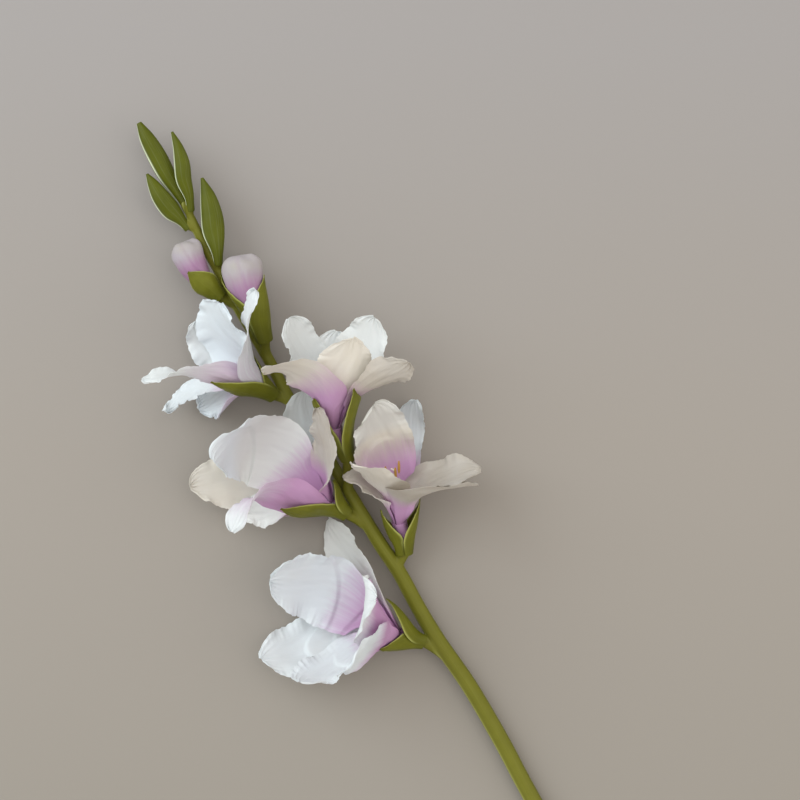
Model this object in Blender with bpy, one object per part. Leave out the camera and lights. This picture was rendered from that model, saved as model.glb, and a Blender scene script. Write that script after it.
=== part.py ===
"""Cut gladiolus flower stem, lying on a flat surface.

One tapering stem, five open florets in two ranks, two opening buds and four
green buds at the tip. Every floret is a tube with six tepals, a bunch of
stamens and two green bracts that clasp the tube's foot.

The layout is drawn on a flat grid, seen from straight above: x to the right,
y down, one step of GRID mm at the height EYE_REF, with h as height above the
surface in mm. The grid is turned by TURN, so that the stem runs along +Y.
"""

import math

import bmesh
import bpy
import numpy as np
from mathutils import Vector
from mathutils.bvhtree import BVHTree

# ---------------------------------------------------------------- dimensions
GRID = 0.65  # mm for one step of the layout grid
EYE = 1350.0  # mm, height over which the grid closes to a point
EYE_REF = 30.0  # mm, height at which a step measures GRID
TURN = math.radians(30.0)  # the layout's turn to bring the stem along +Y
CENTRE = (-69.88, -116.6)  # mm, middle of the whole outline after the turn
DROP = 9.5  # mm, so that the lowest tepal touches z = 0

TEPAL_THICK = 0.8  # mm
BRACT_THICK = 0.9  # mm
GAP = 0.35  # mm, clearance between neighbours
STUB_R = 3.6  # mm, radius of a stalk where it carries the bracts
BRACT_FOOT_R = 5.2  # mm, radius of the closed sheath of bracts at its foot
TUBE_FOOT_R = 2.6  # mm, radius of a floret's tube at its foot
TUBE_MOUTH_R = 5.0  # mm, at its mouth
TUBE_WALL = 0.9  # mm
ROWS, COLS = 9, 6  # faces along and across a tepal
BRACT_ROWS, BRACT_COLS = 7, 5
SETTLE_ROUNDS = 56  # rounds in which the leaves are moved off their neighbours
STEM_SIDES = 10
BUD_SIDES = 10

WHITE = ("tepal_white", (0.86, 0.84, 0.86))
LILAC = ("tube_lilac", (0.46, 0.24, 0.42))
GREEN = ("stem_green", (0.17, 0.19, 0.02))
BRACT = ("bract_green", (0.13, 0.16, 0.015))
YELLOW = ("stamen_yellow", (0.60, 0.32, 0.05))

# Stem: layout x, y, height h, radius, from the cut end to the tip
STEM = (
    (686, 1068, 14.8, 5.5),
    (612, 938, 15.6, 5.5),
    (533, 800, 16.6, 5.5),
    (502, 742, 17.4, 5.5),
    (470, 687, 18.4, 5.4),
    (439, 642, 19.6, 5.3),
    (418, 607, 20.8, 5.1),
    (399, 572, 22.0, 5.0),
    (377, 539, 23.0, 4.8),
    (343, 482, 24.0, 4.1),
    (315, 437, 24.5, 3.9),
    (288, 396, 25.0, 3.9),
    (270, 362, 25.0, 3.9),
    (249, 326, 25.5, 3.8),
    (233, 298, 26.0, 3.8),
    (218, 269, 26.5, 3.7),
    (205, 246, 27.0, 3.5),
    (196, 228, 27.5, 3.0),
    (189, 213, 28.0, 2.6),
)

# Florets. node: where the stalk leaves the stem; base: foot of the bracts;
# mouth: end of the tube, where the tepals part; face: a point that the open
# flower looks at; flare: how fast the tepals spread; first: azimuth of the
# first tepal, the others following in steps of 60 degrees, outer and inner by
# turns. A bract has a belly and a tip point, and a tepal has belly and tip
# points for its midrib (x, y, h), width, cup, roll in degrees, ruffle height
# and number of waves.
FLORETS = (
    dict(
        node=(447, 656, 18.5), base=(423, 641, 21), mouth=(398, 635, 27), face=(340, 616, 52),
        flare=0.8, first=90, outer_first=True,
        bracts=(((409, 612, 34), (386, 599, 38)), ((402, 650, 34), (379, 647, 42))),
        tepals=(
            ((356, 570, 30), (328, 520, 16), 36, 0.5, 0, 1.5, 3),
            ((325, 572, 16), (270, 580, 44), 56, 0.6, 0, 2.0, 4),
            ((318, 650, 7), (262, 660, 33), 46, 0.4, 0, 2.0, 4),
            ((328, 678, 28), (300, 682, 58), 42, 0.4, 0, 2.0, 3),
            ((354, 656, 76), (346, 670, 90), 44, 0.5, 0, 1.5, 3),
            ((346, 606, 84), (376, 600, 96), 48, 0.3, 0, 2.0, 4),
        ),
    ),
    dict(
        node=(396, 568, 22), base=(404, 554, 25), mouth=(399, 521, 31), face=(394, 474, 49),
        flare=0.15, first=90, outer_first=False, stamen_reach=41.0, stamen_waist=0.75, stamen_spread=0.06, stamen_turn=75,
        bracts=(((384, 532, 31), (381, 510, 37)), ((418, 530, 29), (420, 499, 37))),
        tepals=(
            ((440, 477, 46), (481, 470, 52), 42, 0.5, 0, 2.0, 3),
            ((404, 456, -26), (415, 400, 26), 24, 0.5, 0, 1.5, 3),
            ((376, 440, 26), (373, 406, 66), 46, 0.6, 0, 2.0, 4),
            ((364, 472, 37), (344, 480, 47), 32, 0.5, 0, 1.5, 3),
            ((380, 480, 78), (352, 464, 90), 34, 0.6, 0, 1.5, 3),
            ((434, 482, 68), (478, 484, 64), 54, 0.2, -30, 1.5, 3),
        ),
    ),
    dict(
        node=(366, 524, 23), base=(347, 514, 26), mouth=(330, 503, 30), face=(285, 476, 54),
        flare=0.8, first=90, turns=(6, 10, 0, 0, -14, 33), outer_first=True,
        bract_width=20,
        bracts=(((342, 488, 34), (333, 481, 46)), ((310, 519, 47), (281, 509, 70))),
        tepals=(
            ((295, 446, 32), (305, 391, 30), 39, 0.2, 95, 1.0, 3),
            ((252, 412, 22), (214, 462, 64), 60, 0.7, 0, 2.0, 4),
            ((246, 478, 10), (190, 487, 34), 42, 0.5, 0, 1.5, 3),
            ((268, 516, 16), (240, 512, 30), 34, 0.5, 0, 1.5, 3),
            ((262, 455, 84), (232, 532, 89), 35, 0.4, 4, 2.0, 3),
            ((332, 454, 72), (318, 408, 72), 40, 0.2, 20, 1.5, 3),
        ),
    ),
    dict(
        node=(347, 490, 24), base=(348, 458, 40), mouth=(334, 426, 56), face=(336, 374, 72),
        flare=0.55, first=30, turns=(-9, 2, 22, 0, 0, 0), outer_first=False, stamen_reach=8.0,
        bracts=(((317, 430, 57), (316, 397, 76)), ((354, 426, 57), (353, 389, 84))),
        tepals=(
            ((342, 378, 84), (352, 338, 90), 47, 0.3, 0, 1.5, 3),
            ((380, 378, 68), (408, 362, 80), 39, 0.3, -70, 1.5, 3),
            ((368, 352, 46), (375, 318, 62), 40, 0.4, 0, 2.0, 4),
            ((334, 354, 44), (338, 331, 46), 36, 0.5, 0, 1.5, 3),
            ((304, 362, 54), (289, 318, 66), 42, 0.5, 0, 2.0, 3),
            ((312, 362, 94), (262, 372, 90), 42, 0.3, 40, 1.5, 3),
        ),
    ),
    dict(
        node=(290, 400, 25), base=(274, 395, 27), mouth=(262, 386, 32), face=(218, 360, 52),
        flare=0.7, first=90, outer_first=False,
        bract_width=20,
        bracts=(((260, 366, 36), (251, 356, 42)), ((243, 396, 50), (211, 382, 62))),
        tepals=(
            ((220, 340, 36), (218, 302, 56), 52, 0.4, 0, 2.0, 3),
            ((212, 350, 16), (198, 320, 30), 38, 0.4, 0, 2.5, 4),
            ((190, 386, 12), (166, 412, 30), 16, 0.4, 0, 1.5, 3),
            ((228, 398, 11), (199, 410, 19), 35, 0.4, 0, 1.5, 3),
            ((200, 366, 68), (142, 380, 64), 30, 0.4, 0, 1.5, 3),
            ((236, 344, 66), (256, 290, 76), 36, 0.3, 0, 1.5, 3),
        ),
    ),
)

# Opening buds. path: middle of the furled tepals from foot to top, with half
# width across the layout and half depth.
OPENING_BUDS = (
    dict(
        name="bud_6", node=(265, 354, 25), base=(265, 341, 31),
        bracts=(((266, 308, 47), (264, 275, 42)), ((241, 316, 40), (221, 275, 35))),
        path=((261, 324, 37, 3.2, 3.2), (254, 306, 39, 6.6, 6.2), (247, 288, 40, 11.2, 8.6),
              (242, 268, 40, 12.0, 8.5), (240, 255, 40, 8.0, 5.0)),
    ),
    dict(
        name="bud_7", node=(233, 302, 26), base=(221, 298, 29),
        bracts=(((205, 287, 43), (188, 272, 39)),),
        path=((211, 289, 31, 3.0, 3.0), (202, 279, 32, 6.5, 6.0), (194, 266, 33, 9.0, 8.0),
              (187, 252, 34, 9.6, 7.0), (183, 242, 34, 6.5, 4.5)),
    ),
)

# Green buds: x, y, h, half width, half depth from the foot to the tip
GREEN_BUDS = (
    ("bud_8", ((218.5, 265, 31.4, 1.3, 1.3), (217, 249, 34, 4.6, 4.0), (214, 232, 34, 7.3, 5.0),
               (212, 215, 34, 7.2, 5.0), (208, 196, 34, 5.0, 3.6), (202, 178, 33, 1.0, 0.9))),
    ("bud_9", ((188.7, 229.4, 28, 1.2, 1.2), (180, 219, 29, 4.2, 3.7), (171, 210, 30, 6.4, 4.8),
               (161, 197, 31, 6.0, 4.6), (153, 184, 31, 3.8, 3.2), (147, 174, 31, 0.9, 0.9))),
    ("bud_10", ((190.8, 210.9, 29.7, 1.2, 1.2), (189, 196, 33, 3.4, 3.0), (184, 180, 35.5, 5.2, 4.0),
                (182, 163, 36, 5.2, 4.0), (178, 147, 35, 3.4, 3.0), (172, 132, 34, 0.9, 0.9))),
    ("bud_11", ((188.9, 212.9, 25.8, 1.2, 1.2), (178, 193, 26, 4.2, 3.8), (167, 175, 27.5, 6.0, 4.4),
                (157, 156, 28, 6.4, 4.6), (147, 138, 29, 5.0, 4.0), (139, 123, 29, 1.8, 1.6))),
)


# ------------------------------------------------------------------- helpers
def at(x, y, h):
    """A layout point as x, y, z in mm, in the part's own frame."""
    k = GRID * (1 - (h - EYE_REF) / EYE)
    u, v = (x - 400) * k, (400 - y) * k
    c, s = math.cos(TURN), math.sin(TURN)
    return np.array([u * c + v * s - CENTRE[0], v * c - u * s - CENTRE[1], h - DROP])


def unit(v):
    return v / max(np.linalg.norm(v), 1e-9)


def smooth(x):
    x = np.clip(x, 0, 1)
    return x * x * (3 - 2 * x)


def bezier(points, n):
    """n points of a cubic Bezier curve, evenly spaced along its length."""
    p0, p1, p2, p3 = points
    f = np.linspace(0, 1, 81)[:, None]
    c = (1 - f) ** 3 * p0 + 3 * (1 - f) ** 2 * f * p1 + 3 * (1 - f) * f**2 * p2 + f**3 * p3
    run = np.concatenate([[0], np.cumsum(np.linalg.norm(np.diff(c, axis=0), axis=1))])
    want = np.asarray(n) * run[-1] if np.ndim(n) else np.linspace(0, run[-1], n)
    return np.stack([np.interp(want, run, c[:, i]) for i in range(3)], 1), run[-1]


def through(points, n):
    """A smooth curve through points (Catmull-Rom), n points evenly along it.
    Extra columns, such as a radius, are carried along."""
    p = np.array(points, float)
    p = np.vstack([2 * p[0] - p[1], p, 2 * p[-1] - p[-2]])
    out = []
    for i in range(1, len(p) - 2):
        a, b, c, d = p[i - 1 : i + 3]
        for f in np.linspace(0, 1, 12, endpoint=False):
            out.append(
                0.5 * (2 * b + (c - a) * f + (2 * a - 5 * b + 4 * c - d) * f**2 + (3 * b - a - 3 * c + d) * f**3)
            )
    out = np.array(out + [p[-2]])
    run = np.concatenate([[0], np.cumsum(np.linalg.norm(np.diff(out[:, :3], axis=0), axis=1))])
    want = np.linspace(0, run[-1], n)
    return np.stack([np.interp(want, run, out[:, i]) for i in range(out.shape[1])], 1)


def tangents(c):
    t = np.gradient(c, axis=0)
    return t / np.maximum(np.linalg.norm(t, axis=1, keepdims=True), 1e-9)


def rings(path, ref, rx, ry, sides):
    """Elliptic rings around a path, rx across ref and ry along it."""
    t = tangents(path)
    up = ref - (t @ ref)[:, None] * t
    up /= np.linalg.norm(up, axis=1, keepdims=True)
    side = np.cross(t, up)
    a = np.linspace(0, 2 * math.pi, sides, endpoint=False)
    return (
        path[:, None]
        + side[:, None] * (np.cos(a)[None, :, None] * np.asarray(rx)[:, None, None])
        + up[:, None] * (np.sin(a)[None, :, None] * np.asarray(ry)[:, None, None])
    )


def loft(r):
    """Vertices and faces of a solid through rings r, with flat end caps."""
    n, m = r.shape[:2]
    verts = list(r.reshape(-1, 3))
    faces = []
    for i in range(n - 1):
        for j in range(m):
            k = (j + 1) % m
            faces.append((i * m + j, (i + 1) * m + j, (i + 1) * m + k, i * m + k))
    faces.append(tuple(range(m)))
    faces.append(tuple((n - 1) * m + j for j in range(m - 1, -1, -1)))
    return verts, faces


def grid_normals(g):
    du = np.gradient(g, axis=0)
    dv = np.gradient(g, axis=1)
    n = np.cross(du, dv)
    return n / np.maximum(np.linalg.norm(n, axis=2, keepdims=True), 1e-9)


def grid_faces(n, m):
    return [
        (i * m + j, i * m + j + 1, (i + 1) * m + j + 1, (i + 1) * m + j)
        for i in range(n - 1)
        for j in range(m - 1)
    ]


def shell(g, thick):
    """A closed plate along the grid g, thick in the middle and 60% at its rim."""
    n, m = g.shape[:2]
    t = np.linspace(-1, 1, m)[None, :, None]
    th = thick * (1 - 0.4 * t**4)
    nrm = grid_normals(g)
    top, low = g + nrm * th / 2, g - nrm * th / 2
    verts = list(top.reshape(-1, 3)) + list(low.reshape(-1, 3))
    o = n * m
    faces = []
    for a, b, c, d in grid_faces(n, m):
        # both sides are split along the same diagonal, so that a twisted cell keeps its thickness
        faces += [(a, d, c), (a, c, b)]
        faces += [(a + o, b + o, c + o), (a + o, c + o, d + o)]
    rim = (
        [(0, j) for j in range(m - 1)]
        + [(i, m - 1) for i in range(n - 1)]
        + [(n - 1, j) for j in range(m - 1, 0, -1)]
        + [(i, 0) for i in range(n - 1, 0, -1)]
    )
    idx = [i * m + j for i, j in rim]
    for k, a in enumerate(idx):
        b = idx[(k + 1) % len(idx)]
        faces.append((a, b, b + o, a + o))
    return verts, faces


# -------------------------------------------------------------------- blades
class Blade:
    """A thin curved leaf: a midrib, a width along it, and an arc across it
    that is concave towards the axis of its floret."""

    def __init__(self, name, rib, axis, width, foot_width, cup, roll=0.0, ruffle=0.0, waves=3, peak=0.5,
                 power=2.4, point=0.5, thick=TEPAL_THICK, rows=ROWS, cols=COLS, tip=0.12, fixed=True, phase=0.0,
                 turn=(0.2, 0.6), wrap=1.0):
        self.name, self.rib, self.width, self.cup = name, rib, width, cup
        self.foot_width, self.roll = foot_width, math.radians(roll)
        self.ruffle, self.waves, self.peak, self.power, self.point = ruffle, waves, peak, power, point
        self.thick, self.rows, self.cols, self.tip, self.fixed = thick, rows, cols, tip, fixed
        self.phase, self.turn, self.wrap = phase, turn, wrap
        self.origin, self.axis = axis
        self.floret, self.layer = 0, 0
        self.shift = np.zeros((rows + 1, cols + 1, 3))

    def half_width(self, s):
        x = np.clip((s - self.peak) / (1 - self.peak), 0, 1)
        top = self.width / 2 * np.maximum(1 - x**self.power, 0) ** self.point
        y = np.clip(s / self.peak, 0, 1)
        low = self.foot_width + (self.width / 2 - self.foot_width) * (1 - (1 - y) ** 1.8)
        return np.maximum(np.where(s < self.peak, low, top), self.tip * self.width / 2)

    def surface(self, s, t):
        """Points for s along the rib and t across it, both arrays."""
        c, _ = bezier(self.rib, s)
        fine, _ = bezier(self.rib, np.linspace(0, 1, 61))
        tf = tangents(fine)
        tan = np.stack([np.interp(s, np.linspace(0, 1, 61), tf[:, i]) for i in range(3)], 1)
        tan /= np.linalg.norm(tan, axis=1, keepdims=True)
        out = c - self.origin
        out -= (out @ self.axis)[:, None] * self.axis
        away0 = self.rib[0] - self.origin
        away0 = unit(away0 - (away0 @ self.axis) * self.axis)
        away = out / 12.0 + away0 * (1 - 0.7 * s[:, None])
        away /= np.linalg.norm(away, axis=1, keepdims=True)
        ahead, spread = tan @ self.axis, (tan * away).sum(1)
        nrm = spread[:, None] * self.axis - ahead[:, None] * away
        # a near-flat stretch keeps its face turned to the axis
        nrm -= (nrm * tan).sum(1)[:, None] * tan
        nrm /= np.maximum(np.linalg.norm(nrm, axis=1, keepdims=True), 1e-9)
        side = np.cross(tan, nrm)
        a = self.roll * smooth(s)[:, None]
        nrm, side = nrm * np.cos(a) + side * np.sin(a), side * np.cos(a) - nrm * np.sin(a)
        mix = smooth((s - self.turn[0]) / (self.turn[1] - self.turn[0]))
        reach = np.maximum(np.linalg.norm(out, axis=1), 3.0)
        w = np.minimum(self.half_width(s), reach * (self.wrap + 4 * mix))
        k = (1 - mix) / reach + self.cup / (self.width / 2) * mix
        arc = (k * w)[:, None] * t[None, :]
        k_ = np.where(np.abs(k) < 1e-6, 1e-6, k)[:, None]
        x, z = np.sin(arc) / k_, (1 - np.cos(arc)) / k_
        wave = np.sin(2 * math.pi * (self.waves * s[:, None] + 0.25 * np.sign(t)[None, :]) + self.phase)
        z = z + self.ruffle * smooth((s[:, None] - 0.25) / 0.5) * np.abs(t)[None, :] ** 3 * wave
        return c[:, None] + side[:, None] * x[..., None] + nrm[:, None] * z[..., None]

    def coarse(self):
        s = np.linspace(0, 1, self.rows + 1)
        s = s + 0.06 * np.sin(math.pi * s)  # rows closer together near the tip
        t = np.linspace(-1, 1, self.cols + 1)
        return self.surface(s, t)

    def grid(self):
        return self.coarse() + self.shift

    def points(self):
        return self.grid().reshape(-1, 3)

    def tree(self, g=None):
        g = self.grid() if g is None else g
        n, m = g.shape[:2]
        tris = []
        for a, b, c, d in grid_faces(n, m):
            # wound so that the face normal points to the inner side
            tris += [(a, c, d), (a, b, c)]
        return BVHTree.FromPolygons([Vector(p) for p in g.reshape(-1, 3)], tris), tris


class Solid:
    """A closed neighbour that blades keep clear of."""

    def __init__(self, name, verts, faces):
        self.name, self.thick = name, 0.0
        self.verts, self.faces = np.array(verts), faces
        self._tree = BVHTree.FromPolygons([Vector(v) for v in verts], faces)
        self.normals = np.zeros_like(self.verts)
        for f in faces:
            c = self.verts[list(f)]
            self.normals[list(f)] += np.cross(c[1] - c[0], c[2] - c[0])
        self.normals /= np.maximum(np.linalg.norm(self.normals, axis=1, keepdims=True), 1e-9)
        self.lo, self.hi = self.verts.min(0), self.verts.max(0)

    def points(self):
        return self.verts

    def tree(self):
        return self._tree, self.faces


def spread_push(push, hit):
    """Shares a push with its neighbours on the grid, so that the leaf bends smoothly."""
    out = push.copy()
    for _ in range(3):
        pad = np.pad(out, ((1, 1), (1, 1), (0, 0)), mode="edge")
        mean = (pad[:-2, 1:-1] + pad[2:, 1:-1] + pad[1:-1, :-2] + pad[1:-1, 2:]) / 4
        out = 0.5 * out + 0.5 * mean
        out[hit] = np.where(
            np.linalg.norm(out[hit], axis=1, keepdims=True) < np.linalg.norm(push[hit], axis=1, keepdims=True),
            push[hit],
            out[hit],
        )
    return out


def shove(push, q, step):
    if step @ step > push[q] @ push[q]:
        push[q] = step


def off_solid(blade, g, push, mine, tris, solid):
    """Pushes a leaf off a solid neighbour."""
    need = blade.thick / 2 + GAP + 0.15
    tree = solid.tree()[0]
    for q, p in enumerate(g.reshape(-1, 3)):
        loc, nrm, _, dist = tree.find_nearest(Vector(p), 6.0)
        if loc is None:
            continue
        nn = np.array(nrm)
        lack = need - (dist if (p - np.array(loc)) @ nn > 0 else -dist)
        if lack > 0:
            shove(push, q, nn * lack)
    for ia, ib in mine.overlap(tree):
        a, b, c = solid.verts[list(solid.faces[ib][:3])]
        nn = unit(np.cross(b - a, c - a))
        for q in tris[ia]:
            lack = need - (g[q] - a) @ nn
            if lack > 0:
                shove(push, q, nn * min(lack, 1.6))
    for p, out in zip(solid.verts, solid.normals):
        loc, _, idx, dist = mine.find_nearest(Vector(p), need + 2.5)
        if loc is None:
            continue
        v = np.array(loc) - p
        along = v @ out
        if math.sqrt(max(dist * dist - along * along, 0)) < 0.5 and -1.0 < along < need:
            for q in tris[idx]:
                shove(push, q, out * (need - along))


def off_leaf(one, two, sides):
    """Pushes two leaves apart, each by half of what is missing."""
    need = (one["blade"].thick + two["blade"].thick) / 2 + GAP + 0.15
    key = (one["blade"].name, two["blade"].name)
    side = side_of(one["blade"], two["blade"])
    found = contacts(one, two)
    back = contacts(two, one)
    if side == 0:
        if key not in sides and (found or back):
            w = sum(math.copysign(1.0, d) / (0.5 + dist) for _, d, _, dist, _ in found)
            for _, d, nn, dist, idx in back:
                other = two["tree"].find_nearest(Vector(one["g"][one["tris"][idx][0]]))[1]
                w -= math.copysign(1.0, d * (np.array(other) @ nn)) / (0.5 + dist)
            sides[key] = 1 if w >= 0 else -1
        side = sides.get(key, 1)
    for q, d, nn, _, idx in found:
        lack = need - d * side
        if lack > 0:
            shove(one["push"], q, nn * side * lack * 0.5)
            for r in two["tris"][idx]:
                shove(two["push"], r, -nn * side * lack * 0.5)
    for q, d, nn, _, idx in back:
        other = np.array(two["tree"].find_nearest(Vector(two["g"][q]))[1])
        sgn = side if other @ nn >= 0 else -side
        lack = need + d * sgn
        if lack > 0:
            for r in one["tris"][idx]:
                shove(one["push"], r, nn * sgn * lack * 0.5)
            shove(two["push"], q, -nn * sgn * lack * 0.5)


    # faces that cross: their corners move off each other's plane
    for ia, ib in one["tree"].overlap(two["tree"]):
        ta, tb = one["tris"][ia], two["tris"][ib]
        for tri, other, mover, sgn in ((ta, tb, one, side), (tb, ta, two, -side)):
            rest = two if mover is one else one
            a, b, c = rest["g"][list(other)]
            nn = unit(np.cross(b - a, c - a))
            if mover is two:
                mate = unit(np.cross(*(mover["g"][list(tri[1:])] - mover["g"][tri[0]])))
                sgn = -side if mate @ nn >= 0 else side
            for q in tri:
                lack = need - ((mover["g"][q] - a) @ nn) * sgn
                if lack > 0:
                    shove(mover["push"], q, nn * sgn * min(lack, 1.6) * 0.5)


def contacts(one, two, reach=5.0):
    """Points of one leaf that lie over or under the other leaf's faces."""
    out = []
    g, lo, hi = one["g"], two["lo"] - 2.0, two["hi"] + 2.0
    for q in np.nonzero(((g > lo) & (g < hi)).all(1))[0]:
        loc, nrm, idx, dist = two["tree"].find_nearest(Vector(g[q]), reach)
        if loc is None:
            continue
        nn = np.array(nrm)
        d = (g[q] - np.array(loc)) @ nn
        if math.sqrt(max(dist * dist - d * d, 0)) < 0.35 * abs(d) + 0.3:
            out.append((q, d, nn, dist, idx))
    return out


def relax(blades, solids, rounds=SETTLE_ROUNDS):
    """Moves all leaves off one another, off the solids and off the surface
    that the stem lies on, a little in every round."""
    sides = {}
    best = None
    for turn in range(rounds):
        state = []
        for b in blades:
            grid = b.grid()
            g = grid.reshape(-1, 3)
            tree, tris = b.tree(grid)
            state.append(dict(blade=b, g=g, tree=tree, tris=tris, push=np.zeros_like(g), lo=g.min(0), hi=g.max(0)))
        for i, one in enumerate(state):
            for two in state[i + 1 :]:
                if np.all(one["lo"] - 1.5 < two["hi"]) and np.all(two["lo"] - 1.5 < one["hi"]):
                    off_leaf(one, two, sides)
            for o in solids:
                if np.all(one["lo"] - 1.5 < o.hi) and np.all(o.lo - 1.5 < one["hi"]):
                    off_solid(one["blade"], one["g"], one["push"], one["tree"], one["tris"], o)
        lack = sum(np.maximum(np.linalg.norm(one["push"], axis=1) - 0.08, 0).sum() for one in state)
        if best is None or lack < best[0]:
            best = (lack, [b.shift.copy() for b in blades])
        if lack < 0.01 or turn == rounds - 1:
            break
        ease = 1.0 - 0.6 * turn / rounds
        for one in state:
            b = one["blade"]
            shape = b.shift.shape
            g, push = one["g"].reshape(shape), one["push"].reshape(shape)
            floor = b.thick / 2 + 0.02
            push[..., 2] = np.where(g[..., 2] < floor, np.maximum(push[..., 2], floor - g[..., 2]), push[..., 2])
            size = np.linalg.norm(push, axis=2, keepdims=True)
            push *= np.minimum(1, 2.5 / np.maximum(size, 1e-9))
            push = spread_push(push, size[..., 0] > 0) * ease
            if b.fixed:
                push[0] = 0
                push[1] *= 0.6
                push[2] *= 0.9
            b.shift += push
            b.shift[..., 2] = np.maximum(b.shift[..., 2], floor - b.coarse()[..., 2])
    for b, shift in zip(blades, best[1]):
        # the narrow tip moves as one, so that its small cells stay flat
        shift[-1] = shift[-1].mean(axis=0)
        shift[-2] = 0.7 * shift[-2] + 0.3 * shift[-2].mean(axis=0)
        b.shift = shift


def side_of(blade, other):
    """1 where a leaf lies on the other's inner side by its place in the flower, 0 where that is open."""
    if blade.floret != other.floret:
        return 0
    return 1 if blade.layer > other.layer else (-1 if blade.layer < other.layer else 0)


# ------------------------------------------------------------------ the parts
def stem_rings(rows, sides):
    pts = [np.append(at(x, y, h), r) for x, y, h, r in STEM]
    c = through(pts, rows)
    return rings(c[:, :3], np.array([0, 0, 1.0]), c[:, 3], c[:, 3], sides)


def stub_rings(f, sides=9, end=STUB_R):
    """The short stalk that carries a floret's bracts, from inside the stem."""
    node, base = at(*f["node"]), at(*f["base"])
    a = unit(base - node)
    n = 4
    path = node + (base + a * 1.0 - node) * np.linspace(0, 1, n)[:, None]
    r = np.linspace(3.0, end, n)
    return rings(path, np.array([0, 0, 1.0]), r, r, sides)


def floret_frame(f):
    mouth, face = at(*f["mouth"]), at(*f["face"])
    a = unit(face - mouth)
    e1 = unit(np.array([0, 0, 1.0]) - a[2] * a)
    e2 = np.cross(a, e1)
    return mouth, a, e1, e2


def tube_path(f, n):
    mouth, a, _, _ = floret_frame(f)
    node, base = at(*f["node"]), at(*f["base"])
    start = unit(base - node)
    foot = base + start * 1.9
    span = np.linalg.norm(mouth - foot)
    return bezier((foot, foot + start * span * 0.4, mouth - a * span * 0.4, mouth), n)[0]


def tube_rings(f, sides, rows):
    path = tube_path(f, rows)
    k = smooth(np.linspace(0, 1, rows))
    r_out = TUBE_FOOT_R + (TUBE_MOUTH_R - TUBE_FOOT_R) * k
    ref = np.array([0, 0, 1.0])
    outer = rings(path, ref, r_out, r_out, sides)
    inner = rings(path, ref, r_out - TUBE_WALL, r_out - TUBE_WALL, sides)[rows // 3 :]
    return np.concatenate([outer, inner[::-1]])


def make_bracts(i, f):
    base, mouth = at(*f["base"]), at(*(f["mouth"] if "mouth" in f else f["path"][1][:3]))
    a = unit(mouth - base)
    out = []
    for k, (belly, tip) in enumerate(f["bracts"]):
        b, t = at(*belly), at(*tip)
        off = b - base
        off = unit(off - (off @ a) * a)
        p0 = base + off * BRACT_FOOT_R
        p1 = p0 + (a + 0.12 * off) * np.linalg.norm(b - p0) * 0.6
        name = f"{f.get('name', f'floret_{i}')}_bract_{'outer' if k else 'inner'}"
        out.append(
            Blade(name, (p0, p1, b, t), (base, a), width=f.get("bract_width", 24), foot_width=1.43 * BRACT_FOOT_R,
                  cup=1.35, peak=0.42, power=1.5, point=1.0, thick=BRACT_THICK, rows=BRACT_ROWS, cols=BRACT_COLS,
                  fixed=False, tip=0.08, turn=(0.25, 0.95), wrap=1.5)
        )
        out[-1].floret = i
    return out


def make_tepals(i, f):
    mouth, a, e1, e2 = floret_frame(f)
    out = []
    for k, (belly, tip, width, cup, roll, ruffle, waves) in enumerate(f["tepals"]):
        outer = (k % 2 == 0) == f["outer_first"]
        phi = math.radians(f["first"] + 60 * k + f.get("turns", (0,) * 6)[k])
        d = e1 * math.cos(phi) + e2 * math.sin(phi)
        ring = TUBE_MOUTH_R - 0.45 if outer else TUBE_MOUTH_R - 1.95
        p0 = mouth + a * (1.1 if outer else 1.3) + d * ring
        b, t = at(*belly), at(*tip)
        flare = f["flare"] * (1.0 if outer else 0.8)
        p1 = p0 + unit(a + d * flare) * np.linalg.norm(b - p0) * 0.5
        blade = Blade(f"floret_{i}_{'outer' if outer else 'inner'}_tepal_{k // 2 + 1}", (p0, p1, b, t), (mouth, a),
                      width=width, foot_width=0.95 * ring, cup=cup, roll=roll, ruffle=ruffle, waves=waves,
                      phase=1.3 * k + 0.7 * i, wrap=0.95 if outer else 0.8)
        blade.floret, blade.layer = i, 1 if outer else 2
        out.append(blade)
    return out


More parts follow.
